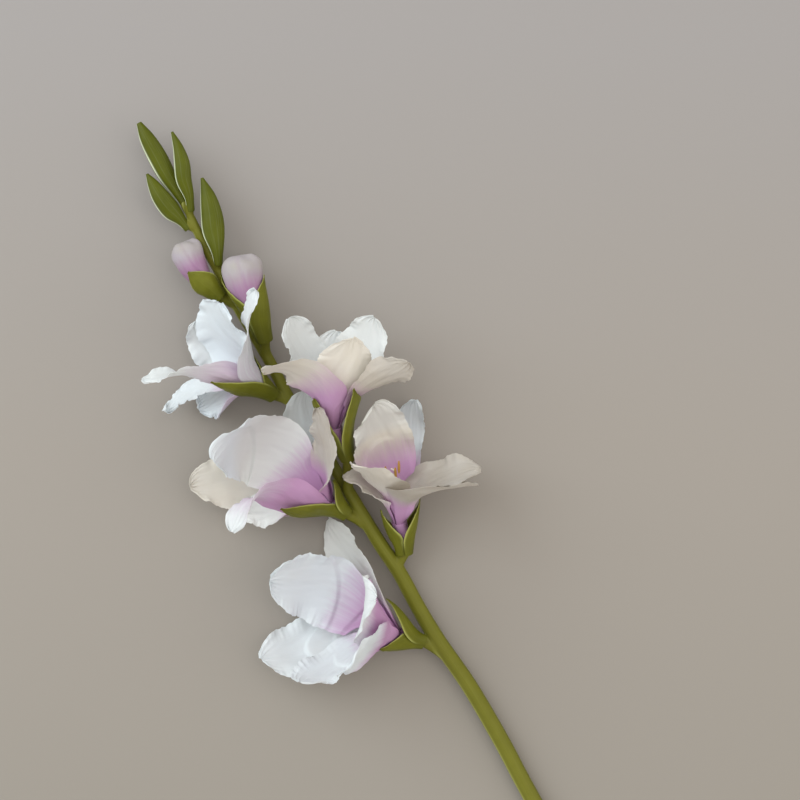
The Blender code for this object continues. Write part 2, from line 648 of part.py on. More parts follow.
def stamen_mesh(f):
    """Three stamens on one small disc at the bottom of the tube's funnel."""
    mouth, a, e1, e2 = floret_frame(f)
    path = tube_path(f, 7)
    foot = path[3] + (path[4] - path[3]) * 0.5
    b = unit(mouth - foot)
    u = unit(e1 - (e1 @ b) * b)
    v = np.cross(b, u)
    ring = [u * math.cos(t) + v * math.sin(t) for t in np.radians([30, 90, 150, 210, 270, 330]) + math.radians(f.get("stamen_turn", 0))]
    verts = [foot + r * 1.1 for r in ring] + [foot + b * 1.2 + r * 1.1 for r in ring]
    faces = [(5, 4, 3, 2, 1, 0), (6, 7, 8, 9, 10, 11)]
    reach, waist = f.get("stamen_reach", 20.0), f.get("stamen_waist", 1.5)
    for q in range(6):
        p = (q + 1) % 6
        if q % 2:
            faces.append((q, p, p + 6, q + 6))
            continue
        # an arm grows from every second side: filament, then a longer anther
        w = unit(ring[p] - ring[q])
        d = unit(ring[q] + ring[p])
        root = foot + b * 0.6 + d * 1.55
        top = mouth + a * reach + d * (1.2 + f.get("stamen_spread", 0.07) * reach)
        bends = (root, foot + b * 6 + d * waist, mouth + a * 2 + d * (waist - 0.1), top)
        spots = (0.0, 0.3, 0.66, 0.68, 0.84, 1.0)
        path, _ = bezier(bends, np.array(spots))
        ahead, _ = bezier(bends, np.minimum(np.array(spots) + 0.02, 1.0))
        back, _ = bezier(bends, np.maximum(np.array(spots) - 0.02, 0.0))
        last = (q, p, p + 6, q + 6)
        for c, tan, half in zip(path, ahead - back, (0.4, 0.4, 0.4, 0.8, 0.9, 0.4)):
            high = unit(np.cross(tan, w)) * half
            wide = w * half
            base = len(verts)
            verts += [c - wide - high, c + wide - high, c + wide + high, c - wide + high]
            new = (base, base + 1, base + 2, base + 3)
            for j in range(4):
                m = (j + 1) % 4
                faces.append((last[j], last[m], new[m], new[j]))
            last = new
        faces.append(last)
    return verts, faces


def bud_rings(points, rows, sides):
    pts = [np.append(at(x, y, h), (rx, ry)) for x, y, h, rx, ry in points]
    c = through(pts, rows)
    return rings(c[:, :3], np.array([0, 0, 1.0]), c[:, 3], c[:, 4], sides)


def mesh_object(name, verts, faces, colour, rough):
    me = bpy.data.meshes.new(name)
    me.from_pydata([tuple(float(c) * 0.001 for c in v) for v in verts], [], faces)
    bm = bmesh.new()
    bm.from_mesh(me)
    bmesh.ops.recalc_face_normals(bm, faces=bm.faces)
    bm.to_mesh(me)
    bm.free()
    me.shade_smooth()
    me.set_sharp_from_angle(angle=math.radians(50))
    ob = bpy.data.objects.new(name, me)
    bpy.context.scene.collection.objects.link(ob)
    mat = bpy.data.materials.get(colour[0])
    if mat is None:
        mat = bpy.data.materials.new(colour[0])
        mat.use_nodes = True
        p = mat.node_tree.nodes["Principled BSDF"]
        p.inputs["Base Color"].default_value = (*colour[1], 1)
        p.inputs["Roughness"].default_value = rough
        p.inputs["Metallic"].default_value = 0.0
    me.materials.append(mat)
    return ob


def join_stubs(stem, stubs):
    """Unites the stalks with the stem in one solid."""
    for s in stubs:
        mod = stem.modifiers.new(s.name, "BOOLEAN")
        mod.operation, mod.object = "UNION", s
    dg = bpy.context.evaluated_depsgraph_get()
    me = bpy.data.meshes.new_from_object(stem.evaluated_get(dg))
    bm = bmesh.new()
    bm.from_mesh(me)
    bmesh.ops.remove_doubles(bm, verts=bm.verts, dist=0.00003)
    bmesh.ops.dissolve_degenerate(bm, edges=bm.edges, dist=0.00003)
    bmesh.ops.triangulate(bm, faces=bm.faces)
    bm.to_mesh(me)
    bm.free()
    stem.modifiers.clear()
    stem.data = me
    for s in stubs:
        bpy.data.objects.remove(s, do_unlink=True)


def build():
    for ob in list(bpy.data.objects):
        bpy.data.objects.remove(ob, do_unlink=True)
    done = []
    v, fc = loft(stem_rings(36, STEM_SIDES))
    done.append(Solid("stem", v, fc))
    stem = mesh_object("stem", v, fc, GREEN, 0.4)
    stubs = []
    for i, f in enumerate(FLORETS + OPENING_BUDS, 1):
        sv, sf = loft(stub_rings(f))
        done.append(Solid(f"stub_{i}", sv, sf))
        stubs.append(mesh_object(f"stub_{i}", sv, sf, GREEN, 0.4))
    join_stubs(stem, stubs)
    for i, f in enumerate(FLORETS, 1):
        tv, tf = loft(tube_rings(f, 9, 6))
        mesh_object(f"floret_{i}_tube", tv, tf, LILAC, 0.5)
        done.append(Solid(f"floret_{i}_tube", tv, tf))
        sv, sf = stamen_mesh(f)
        mesh_object(f"floret_{i}_stamens", sv, sf, YELLOW, 0.6)
    for f in OPENING_BUDS:
        bv, bf = loft(bud_rings(f["path"], 9, BUD_SIDES))
        mesh_object(f"{f['name']}_tepals", bv, bf, WHITE, 0.5)
        done.append(Solid(f"{f['name']}_tepals", bv, bf))
    for name, points in GREEN_BUDS:
        bv, bf = loft(bud_rings(points, 9, BUD_SIDES))
        mesh_object(name, bv, bf, BRACT, 0.45)
        done.append(Solid(name, bv, bf))
    blades = [b for i, f in enumerate(FLORETS + OPENING_BUDS, 1) for b in make_bracts(i, f)]
    for i, f in enumerate(FLORETS, 1):
        blades += make_tepals(i, f)
    relax(blades, done)
    for b in blades:
        green = "bract" in b.name
        mesh_object(b.name, *shell(b.grid(), b.thick), BRACT if green else WHITE, 0.5 if green else 0.55)
    return done + blades


build()
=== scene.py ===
import math

import bmesh
import bpy
import numpy as np
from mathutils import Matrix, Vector


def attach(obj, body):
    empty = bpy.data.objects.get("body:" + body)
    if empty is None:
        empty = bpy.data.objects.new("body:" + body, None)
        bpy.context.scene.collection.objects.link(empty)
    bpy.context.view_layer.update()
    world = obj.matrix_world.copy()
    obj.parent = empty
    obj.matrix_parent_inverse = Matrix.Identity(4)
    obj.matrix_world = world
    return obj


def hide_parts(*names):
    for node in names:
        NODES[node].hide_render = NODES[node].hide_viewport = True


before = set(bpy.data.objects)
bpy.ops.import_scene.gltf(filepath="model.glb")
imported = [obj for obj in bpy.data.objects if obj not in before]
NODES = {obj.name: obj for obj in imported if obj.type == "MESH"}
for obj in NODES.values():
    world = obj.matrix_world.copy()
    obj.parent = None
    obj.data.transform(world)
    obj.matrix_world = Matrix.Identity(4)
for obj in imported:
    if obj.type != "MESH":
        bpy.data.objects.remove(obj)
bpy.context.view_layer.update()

# The visual model of a cut gladiolus stem that lies on a flat surface. Every
# leaf repeats the layout's midribs and widths, takes its exact place from the
# CAD solid that it stands for, and is drawn as a fine, thin, ruffled sheet.

# ---------------------------------------------------------------- dimensions
GRID = 0.65  # mm for one step of the layout grid
EYE = 1350.0  # mm, height over which the grid closes to a point
EYE_REF = 30.0  # mm, height at which a step measures GRID
TURN = math.radians(30.0)  # the layout's turn to bring the stem along +Y
CENTRE = (-69.88, -116.6)  # mm, middle of the whole outline after the turn
DROP = 9.5  # mm, so that the lowest tepal touches z = 0

TEPAL_THICK = 0.8  # mm
BRACT_THICK = 0.9  # mm
STUB_R = 3.6  # mm, radius of a stalk where it carries the bracts
BRACT_FOOT_R = 5.2  # mm, radius of the closed sheath of bracts at its foot
TUBE_FOOT_R = 2.6  # mm, radius of a floret's tube at its foot
TUBE_MOUTH_R = 5.0  # mm, at its mouth
TUBE_WALL = 0.9  # mm
ROWS, COLS = 9, 6  # faces along and across a tepal
BRACT_ROWS, BRACT_COLS = 7, 5

# Stem: layout x, y, height h, radius, from the cut end to the tip
STEM = (
    (686, 1068, 14.8, 5.5),
    (612, 938, 15.6, 5.5),
    (533, 800, 16.6, 5.5),
    (502, 742, 17.4, 5.5),
    (470, 687, 18.4, 5.4),
    (439, 642, 19.6, 5.3),
    (418, 607, 20.8, 5.1),
    (399, 572, 22.0, 5.0),
    (377, 539, 23.0, 4.8),
    (343, 482, 24.0, 4.1),
    (315, 437, 24.5, 3.9),
    (288, 396, 25.0, 3.9),
    (270, 362, 25.0, 3.9),
    (249, 326, 25.5, 3.8),
    (233, 298, 26.0, 3.8),
    (218, 269, 26.5, 3.7),
    (205, 246, 27.0, 3.5),
    (196, 228, 27.5, 3.0),
    (189, 213, 28.0, 2.6),
)

# Florets. node: where the stalk leaves the stem; base: foot of the bracts;
# mouth: end of the tube, where the tepals part; face: a point that the open
# flower looks at; flare: how fast the tepals spread; first: azimuth of the
# first tepal, the others following in steps of 60 degrees, outer and inner by
# turns. A bract has a belly and a tip point, and a tepal has belly and tip
# points for its midrib (x, y, h), width, cup, roll in degrees, ruffle height
# and number of waves.
FLORETS = (
    dict(
        node=(447, 656, 18.5), base=(423, 641, 21), mouth=(398, 635, 27), face=(340, 616, 52),
        flare=0.8, first=90, outer_first=True,
        bracts=(((409, 612, 34), (386, 599, 38)), ((402, 650, 34), (379, 647, 42))),
        tepals=(
            ((356, 570, 30), (328, 520, 16), 36, 0.5, 0, 1.5, 3),
            ((325, 572, 16), (270, 580, 44), 56, 0.6, 0, 2.0, 4),
            ((318, 650, 7), (262, 660, 33), 46, 0.4, 0, 2.0, 4),
            ((328, 678, 28), (300, 682, 58), 42, 0.4, 0, 2.0, 3),
            ((354, 656, 76), (346, 670, 90), 44, 0.5, 0, 1.5, 3),
            ((346, 606, 84), (376, 600, 96), 48, 0.3, 0, 2.0, 4),
        ),
    ),
    dict(
        node=(396, 568, 22), base=(404, 554, 25), mouth=(399, 521, 31), face=(394, 474, 49),
        flare=0.15, first=90, outer_first=False, stamen_reach=41.0, stamen_waist=0.75, stamen_spread=0.06, stamen_turn=75,
        bracts=(((384, 532, 31), (381, 510, 37)), ((418, 530, 29), (420, 499, 37))),
        tepals=(
            ((440, 477, 46), (481, 470, 52), 42, 0.5, 0, 2.0, 3),
            ((404, 456, -26), (415, 400, 26), 24, 0.5, 0, 1.5, 3),
            ((376, 440, 26), (373, 406, 66), 46, 0.6, 0, 2.0, 4),
            ((364, 472, 37), (344, 480, 47), 32, 0.5, 0, 1.5, 3),
            ((380, 480, 78), (352, 464, 90), 34, 0.6, 0, 1.5, 3),
            ((434, 482, 68), (478, 484, 64), 54, 0.2, -30, 1.5, 3),
        ),
    ),
    dict(
        node=(366, 524, 23), base=(347, 514, 26), mouth=(330, 503, 30), face=(285, 476, 54),
        flare=0.8, first=90, turns=(6, 10, 0, 0, -14, 33), outer_first=True,
        bract_width=20,
        bracts=(((342, 488, 34), (333, 481, 46)), ((310, 519, 47), (281, 509, 70))),
        tepals=(
            ((295, 446, 32), (305, 391, 30), 39, 0.2, 95, 1.0, 3),
            ((252, 412, 22), (214, 462, 64), 60, 0.7, 0, 2.0, 4),
            ((246, 478, 10), (190, 487, 34), 42, 0.5, 0, 1.5, 3),
            ((268, 516, 16), (240, 512, 30), 34, 0.5, 0, 1.5, 3),
            ((262, 455, 84), (232, 532, 89), 35, 0.4, 4, 2.0, 3),
            ((332, 454, 72), (318, 408, 72), 40, 0.2, 20, 1.5, 3),
        ),
    ),
    dict(
        node=(347, 490, 24), base=(348, 458, 40), mouth=(334, 426, 56), face=(336, 374, 72),
        flare=0.55, first=30, turns=(-9, 2, 22, 0, 0, 0), outer_first=False, stamen_reach=8.0,
        bracts=(((317, 430, 57), (316, 397, 76)), ((354, 426, 57), (353, 389, 84))),
        tepals=(
            ((342, 378, 84), (352, 338, 90), 47, 0.3, 0, 1.5, 3),
            ((380, 378, 68), (408, 362, 80), 39, 0.3, -70, 1.5, 3),
            ((368, 352, 46), (375, 318, 62), 40, 0.4, 0, 2.0, 4),
            ((334, 354, 44), (338, 331, 46), 36, 0.5, 0, 1.5, 3),
            ((304, 362, 54), (289, 318, 66), 42, 0.5, 0, 2.0, 3),
            ((312, 362, 94), (262, 372, 90), 42, 0.3, 40, 1.5, 3),
        ),
    ),
    dict(
        node=(290, 400, 25), base=(274, 395, 27), mouth=(262, 386, 32), face=(218, 360, 52),
        flare=0.7, first=90, outer_first=False,
        bract_width=20,
        bracts=(((260, 366, 36), (251, 356, 42)), ((243, 396, 50), (211, 382, 62))),
        tepals=(
            ((220, 340, 36), (218, 302, 56), 52, 0.4, 0, 2.0, 3),
            ((212, 350, 16), (198, 320, 30), 38, 0.4, 0, 2.5, 4),
            ((190, 386, 12), (166, 412, 30), 16, 0.4, 0, 1.5, 3),
            ((228, 398, 11), (199, 410, 19), 35, 0.4, 0, 1.5, 3),
            ((200, 366, 68), (142, 380, 64), 30, 0.4, 0, 1.5, 3),
            ((236, 344, 66), (256, 290, 76), 36, 0.3, 0, 1.5, 3),
        ),
    ),
)

# Opening buds. path: middle of the furled tepals from foot to top, with half
# width across the layout and half depth.
OPENING_BUDS = (
    dict(
        name="bud_6", node=(265, 354, 25), base=(265, 341, 31),
        bracts=(((266, 308, 47), (264, 275, 42)), ((241, 316, 40), (221, 275, 35))),
        path=((261, 324, 37, 3.2, 3.2), (254, 306, 39, 6.6, 6.2), (247, 288, 40, 11.2, 8.6),
              (242, 268, 40, 12.0, 8.5), (240, 255, 40, 8.0, 5.0)),
    ),
    dict(
        name="bud_7", node=(233, 302, 26), base=(221, 298, 29),
        bracts=(((205, 287, 43), (188, 272, 39)),),
        path=((211, 289, 31, 3.0, 3.0), (202, 279, 32, 6.5, 6.0), (194, 266, 33, 9.0, 8.0),
              (187, 252, 34, 9.6, 7.0), (183, 242, 34, 6.5, 4.5)),
    ),
)

# Green buds: x, y, h, half width, half depth from the foot to the tip
GREEN_BUDS = (
    ("bud_8", ((218.5, 265, 31.4, 1.3, 1.3), (217, 249, 34, 4.6, 4.0), (214, 232, 34, 7.3, 5.0),
               (212, 215, 34, 7.2, 5.0), (208, 196, 34, 5.0, 3.6), (202, 178, 33, 1.0, 0.9))),
    ("bud_9", ((188.7, 229.4, 28, 1.2, 1.2), (180, 219, 29, 4.2, 3.7), (171, 210, 30, 6.4, 4.8),
               (161, 197, 31, 6.0, 4.6), (153, 184, 31, 3.8, 3.2), (147, 174, 31, 0.9, 0.9))),
    ("bud_10", ((190.8, 210.9, 29.7, 1.2, 1.2), (189, 196, 33, 3.4, 3.0), (184, 180, 35.5, 5.2, 4.0),
                (182, 163, 36, 5.2, 4.0), (178, 147, 35, 3.4, 3.0), (172, 132, 34, 0.9, 0.9))),
    ("bud_11", ((188.9, 212.9, 25.8, 1.2, 1.2), (178, 193, 26, 4.2, 3.8), (167, 175, 27.5, 6.0, 4.4),
                (157, 156, 28, 6.4, 4.6), (147, 138, 29, 5.0, 4.0), (139, 123, 29, 1.8, 1.6))),
)


# ------------------------------------------------------------------- helpers
def at(x, y, h):
    """A layout point as x, y, z in mm, in the part's own frame."""
    k = GRID * (1 - (h - EYE_REF) / EYE)
    u, v = (x - 400) * k, (400 - y) * k
    c, s = math.cos(TURN), math.sin(TURN)
    return np.array([u * c + v * s - CENTRE[0], v * c - u * s - CENTRE[1], h - DROP])


def unit(v):
    return v / max(np.linalg.norm(v), 1e-9)


def smooth(x):
    x = np.clip(x, 0, 1)
    return x * x * (3 - 2 * x)


def bezier(points, n):
    """n points of a cubic Bezier curve, evenly spaced along its length."""
    p0, p1, p2, p3 = points
    f = np.linspace(0, 1, 81)[:, None]
    c = (1 - f) ** 3 * p0 + 3 * (1 - f) ** 2 * f * p1 + 3 * (1 - f) * f**2 * p2 + f**3 * p3
    run = np.concatenate([[0], np.cumsum(np.linalg.norm(np.diff(c, axis=0), axis=1))])
    want = np.asarray(n) * run[-1] if np.ndim(n) else np.linspace(0, run[-1], n)
    return np.stack([np.interp(want, run, c[:, i]) for i in range(3)], 1), run[-1]


def through(points, n):
    """A smooth curve through points (Catmull-Rom), n points evenly along it.
    Extra columns, such as a radius, are carried along."""
    p = np.array(points, float)
    p = np.vstack([2 * p[0] - p[1], p, 2 * p[-1] - p[-2]])
    out = []
    for i in range(1, len(p) - 2):
        a, b, c, d = p[i - 1 : i + 3]
        for f in np.linspace(0, 1, 12, endpoint=False):
            out.append(
                0.5 * (2 * b + (c - a) * f + (2 * a - 5 * b + 4 * c - d) * f**2 + (3 * b - a - 3 * c + d) * f**3)
            )
    out = np.array(out + [p[-2]])
    run = np.concatenate([[0], np.cumsum(np.linalg.norm(np.diff(out[:, :3], axis=0), axis=1))])
    want = np.linspace(0, run[-1], n)
    return np.stack([np.interp(want, run, out[:, i]) for i in range(out.shape[1])], 1)


def tangents(c):
    t = np.gradient(c, axis=0)
    return t / np.maximum(np.linalg.norm(t, axis=1, keepdims=True), 1e-9)


def rings(path, ref, rx, ry, sides):
    """Elliptic rings around a path, rx across ref and ry along it."""
    t = tangents(path)
    up = ref - (t @ ref)[:, None] * t
    up /= np.linalg.norm(up, axis=1, keepdims=True)
    side = np.cross(t, up)
    a = np.linspace(0, 2 * math.pi, sides, endpoint=False)
    return (
        path[:, None]
        + side[:, None] * (np.cos(a)[None, :, None] * np.asarray(rx)[:, None, None])
        + up[:, None] * (np.sin(a)[None, :, None] * np.asarray(ry)[:, None, None])
    )


def loft(r):
    """Vertices and faces of a solid through rings r, with flat end caps."""
    n, m = r.shape[:2]
    verts = list(r.reshape(-1, 3))
    faces = []
    for i in range(n - 1):
        for j in range(m):
            k = (j + 1) % m
            faces.append((i * m + j, (i + 1) * m + j, (i + 1) * m + k, i * m + k))
    faces.append(tuple(range(m)))
    faces.append(tuple((n - 1) * m + j for j in range(m - 1, -1, -1)))
    return verts, faces


def grid_normals(g):
    du = np.gradient(g, axis=0)
    dv = np.gradient(g, axis=1)
    n = np.cross(du, dv)
    return n / np.maximum(np.linalg.norm(n, axis=2, keepdims=True), 1e-9)



# -------------------------------------------------------------------- leaves
class Blade:
    """A thin curved leaf: a midrib, a width along it, and an arc across it
    that is concave towards the axis of its floret."""

    def __init__(self, name, rib, axis, width, foot_width, cup, roll=0.0, ruffle=0.0, waves=3, peak=0.5,
                 power=2.4, point=0.5, thick=TEPAL_THICK, rows=ROWS, cols=COLS, tip=0.12, fixed=True, phase=0.0,
                 turn=(0.2, 0.6), wrap=1.0):
        self.name, self.rib, self.width, self.cup = name, rib, width, cup
        self.foot_width, self.roll = foot_width, math.radians(roll)
        self.ruffle, self.waves, self.peak, self.power, self.point = ruffle, waves, peak, power, point
        self.thick, self.rows, self.cols, self.tip, self.fixed = thick, rows, cols, tip, fixed
        self.phase, self.turn, self.wrap = phase, turn, wrap
        self.origin, self.axis = axis
        self.floret, self.layer = 0, 0

    def half_width(self, s):
        x = np.clip((s - self.peak) / (1 - self.peak), 0, 1)
        top = self.width / 2 * np.maximum(1 - x**self.power, 0) ** self.point
        y = np.clip(s / self.peak, 0, 1)
        low = self.foot_width + (self.width / 2 - self.foot_width) * (1 - (1 - y) ** 1.8)
        return np.maximum(np.where(s < self.peak, low, top), self.tip * self.width / 2)

    def surface(self, s, t):
        """Points for s along the rib and t across it, both arrays."""
        c, _ = bezier(self.rib, s)
        fine, _ = bezier(self.rib, np.linspace(0, 1, 61))
        tf = tangents(fine)
        tan = np.stack([np.interp(s, np.linspace(0, 1, 61), tf[:, i]) for i in range(3)], 1)
        tan /= np.linalg.norm(tan, axis=1, keepdims=True)
        out = c - self.origin
        out -= (out @ self.axis)[:, None] * self.axis
        away0 = self.rib[0] - self.origin
        away0 = unit(away0 - (away0 @ self.axis) * self.axis)
        away = out / 12.0 + away0 * (1 - 0.7 * s[:, None])
        away /= np.linalg.norm(away, axis=1, keepdims=True)
        ahead, spread = tan @ self.axis, (tan * away).sum(1)
        nrm = spread[:, None] * self.axis - ahead[:, None] * away
        # a near-flat stretch keeps its face turned to the axis
        nrm -= (nrm * tan).sum(1)[:, None] * tan
        nrm /= np.maximum(np.linalg.norm(nrm, axis=1, keepdims=True), 1e-9)
        side = np.cross(tan, nrm)
        a = self.roll * smooth(s)[:, None]
        nrm, side = nrm * np.cos(a) + side * np.sin(a), side * np.cos(a) - nrm * np.sin(a)
        mix = smooth((s - self.turn[0]) / (self.turn[1] - self.turn[0]))
        reach = np.maximum(np.linalg.norm(out, axis=1), 3.0)
        w = np.minimum(self.half_width(s), reach * (self.wrap + 4 * mix))
        k = (1 - mix) / reach + self.cup / (self.width / 2) * mix
        arc = (k * w)[:, None] * t[None, :]
        k_ = np.where(np.abs(k) < 1e-6, 1e-6, k)[:, None]
        x, z = np.sin(arc) / k_, (1 - np.cos(arc)) / k_
        wave = np.sin(2 * math.pi * (self.waves * s[:, None] + 0.25 * np.sign(t)[None, :]) + self.phase)
        z = z + self.ruffle * smooth((s[:, None] - 0.25) / 0.5) * np.abs(t)[None, :] ** 3 * wave
        return c[:, None] + side[:, None] * x[..., None] + nrm[:, None] * z[..., None]

    def coarse(self):
        s = np.linspace(0, 1, self.rows + 1)
        s = s + 0.06 * np.sin(math.pi * s)  # rows closer together near the tip
        t = np.linspace(-1, 1, self.cols + 1)
        return self.surface(s, t)



def floret_frame(f):
    mouth, face = at(*f["mouth"]), at(*f["face"])
    a = unit(face - mouth)
    e1 = unit(np.array([0, 0, 1.0]) - a[2] * a)
    e2 = np.cross(a, e1)
    return mouth, a, e1, e2


def tube_path(f, n):
    mouth, a, _, _ = floret_frame(f)
    node, base = at(*f["node"]), at(*f["base"])
    start = unit(base - node)
    foot = base + start * 1.9
    span = np.linalg.norm(mouth - foot)
    return bezier((foot, foot + start * span * 0.4, mouth - a * span * 0.4, mouth), n)[0]


def make_bracts(i, f):
    base, mouth = at(*f["base"]), at(*(f["mouth"] if "mouth" in f else f["path"][1][:3]))
    a = unit(mouth - base)
    out = []
    for k, (belly, tip) in enumerate(f["bracts"]):
        b, t = at(*belly), at(*tip)
        off = b - base
        off = unit(off - (off @ a) * a)
        p0 = base + off * BRACT_FOOT_R
        p1 = p0 + (a + 0.12 * off) * np.linalg.norm(b - p0) * 0.6
        name = f"{f.get('name', f'floret_{i}')}_bract_{'outer' if k else 'inner'}"
        out.append(
            Blade(name, (p0, p1, b, t), (base, a), width=f.get("bract_width", 24), foot_width=1.43 * BRACT_FOOT_R,
                  cup=1.35, peak=0.42, power=1.5, point=1.0, thick=BRACT_THICK, rows=BRACT_ROWS, cols=BRACT_COLS,
                  fixed=False, tip=0.08, turn=(0.25, 0.95), wrap=1.5)
        )
        out[-1].floret = i
    return out


def make_tepals(i, f):
    mouth, a, e1, e2 = floret_frame(f)
    out = []
    for k, (belly, tip, width, cup, roll, ruffle, waves) in enumerate(f["tepals"]):
        outer = (k % 2 == 0) == f["outer_first"]
        phi = math.radians(f["first"] + 60 * k + f.get("turns", (0,) * 6)[k])
        d = e1 * math.cos(phi) + e2 * math.sin(phi)
        ring = TUBE_MOUTH_R - 0.45 if outer else TUBE_MOUTH_R - 1.95
        p0 = mouth + a * (1.1 if outer else 1.3) + d * ring
        b, t = at(*belly), at(*tip)
        flare = f["flare"] * (1.0 if outer else 0.8)
        p1 = p0 + unit(a + d * flare) * np.linalg.norm(b - p0) * 0.5
        blade = Blade(f"floret_{i}_{'outer' if outer else 'inner'}_tepal_{k // 2 + 1}", (p0, p1, b, t), (mouth, a),
                      width=width, foot_width=0.95 * ring, cup=cup, roll=roll, ruffle=ruffle, waves=waves,
                      phase=1.3 * k + 0.7 * i, wrap=0.95 if outer else 0.8)
        blade.floret, blade.layer = i, 1 if outer else 2
        out.append(blade)
    return out


# ------------------------------------------------------------- CAD leaf grids
def node_mesh(name):
    """Welded corner points in mm, and triangles, of a CAD node."""
    me = NODES[name].data
    co = np.empty(len(me.vertices) * 3, np.float32)
    me.vertices.foreach_get("co", co)
    co = co.reshape(-1, 3)
    me.calc_loop_triangles()
    tri = np.empty(len(me.loop_triangles) * 3, int)
    me.loop_triangles.foreach_get("vertices", tri)
    keys = {}
    where = np.array([keys.setdefault(p.tobytes(), len(keys)) for p in co])
    pts = np.zeros((len(keys), 3))
    pts[where] = co.astype(float) * 1000
    return pts, where[tri.reshape(-1, 3)]


def walk(third, seed, rows, cols):
    """Corner numbers of a sheet's grid, from the first cell's triangle (a, d, c) and
    the third corner of the triangle at each directed edge."""
    grid = np.full((rows + 1, cols + 1), -1)
    grid[0, 0], grid[1, 0], grid[1, 1] = seed
    for i in range(rows):
        if i:
            grid[i + 1, 1] = third[grid[i, 1], grid[i, 0]]
            grid[i + 1, 0] = third[grid[i + 1, 1], grid[i, 0]]
        for j in range(cols):
            if j:
                grid[i + 1, j + 1] = third[grid[i, j], grid[i + 1, j]]
            if i == 0:
                grid[0, j + 1] = third[grid[0, j], grid[1, j + 1]]
    return grid


def cad_grid(blade):
    """The middle surface of a leaf's CAD solid, on the leaf's own grid."""
    pts, tri = node_mesh(blade.name)
    mid = blade.coarse()
    t = np.linspace(-1, 1, mid.shape[1])[None, :, None]
    half = grid_normals(mid) * blade.thick * (1 - 0.4 * t**4) / 2
    sides = []
    for sign in (1, -1):
        want = mid + sign * half
        faces = tri if sign > 0 else tri[:, ::-1]
        third = {}
        seeds = []
        for f in faces:
            for q in range(3):
                a, b, c = f[q], f[(q + 1) % 3], f[(q + 2) % 3]
                third[a, b] = c
                far = sum(np.linalg.norm(pts[v] - w) for v, w in zip((a, b, c), (want[0, 0], want[1, 0], want[1, 1])))
                seeds.append((far, (a, b, c)))
        best = None
        for _, seed in sorted(seeds)[:12]:
            try:
                got = walk(third, seed, blade.rows, blade.cols)
            except KeyError:
                continue
            if len(np.unique(got)) < got.size:
                continue
            far = np.linalg.norm(pts[got] - want, axis=2).sum()
            if best is None or far < best[0]:
                best = (far, pts[got])
        sides.append(best[1])
    return (sides[0] + sides[1]) / 2


# ----------------------------------------------------------------- fine sheets
def spline(v, f):
    """A smooth curve through the rows of v, at fractional rows f."""
    n = len(v)
    p = np.concatenate([[2 * v[0] - v[1]], v, [2 * v[-1] - v[-2]]])
    i = np.clip(np.floor(f).astype(int), 0, n - 2)
    x = (f - i).reshape((-1,) + (1,) * (v.ndim - 1))
    a, b, c, d = p[i], p[i + 1], p[i + 2], p[i + 3]
    return 0.5 * (2 * b + (c - a) * x + (2 * a - 5 * b + 4 * c - d) * x**2 + (3 * b - a - 3 * c + d) * x**3)


def spline_grid(v, fi, fj):
    return spline(spline(v, fi).transpose(1, 0, 2), fj).transpose(1, 0, 2)


def ripple(seed, *axes):
    """A smooth wavy value between about -1 and 1, different for each seed."""
    rng = np.random.RandomState(seed)
    out = 0.0
    for amp in (0.5, 0.3, 0.2):
        freq = rng.uniform(1.2, 2.6, len(axes)) / amp * 0.5
        phase = rng.uniform(0, 2 * math.pi)
        out = out + amp * np.sin(sum(f * a for f, a in zip(freq, axes)) * 2 * math.pi * 0.5 + phase)
    return out


def fold(S, T, across, begin, end, height, width, fade):
    """A lobe's edge on a tepal: a soft step along s = across(t) between two values of t,
    which sinks back over the distance fade. A negative height faces the foot."""
    curve = sum(c * T**q for q, c in enumerate(across))
    x = (S - curve) * np.sign(height)
    along = smooth((T - begin) / 0.25) * smooth((end - T) / 0.25)
    near = np.abs(height) * along
    return near * smooth((x + width) / width) * (1 - smooth(x / fade))


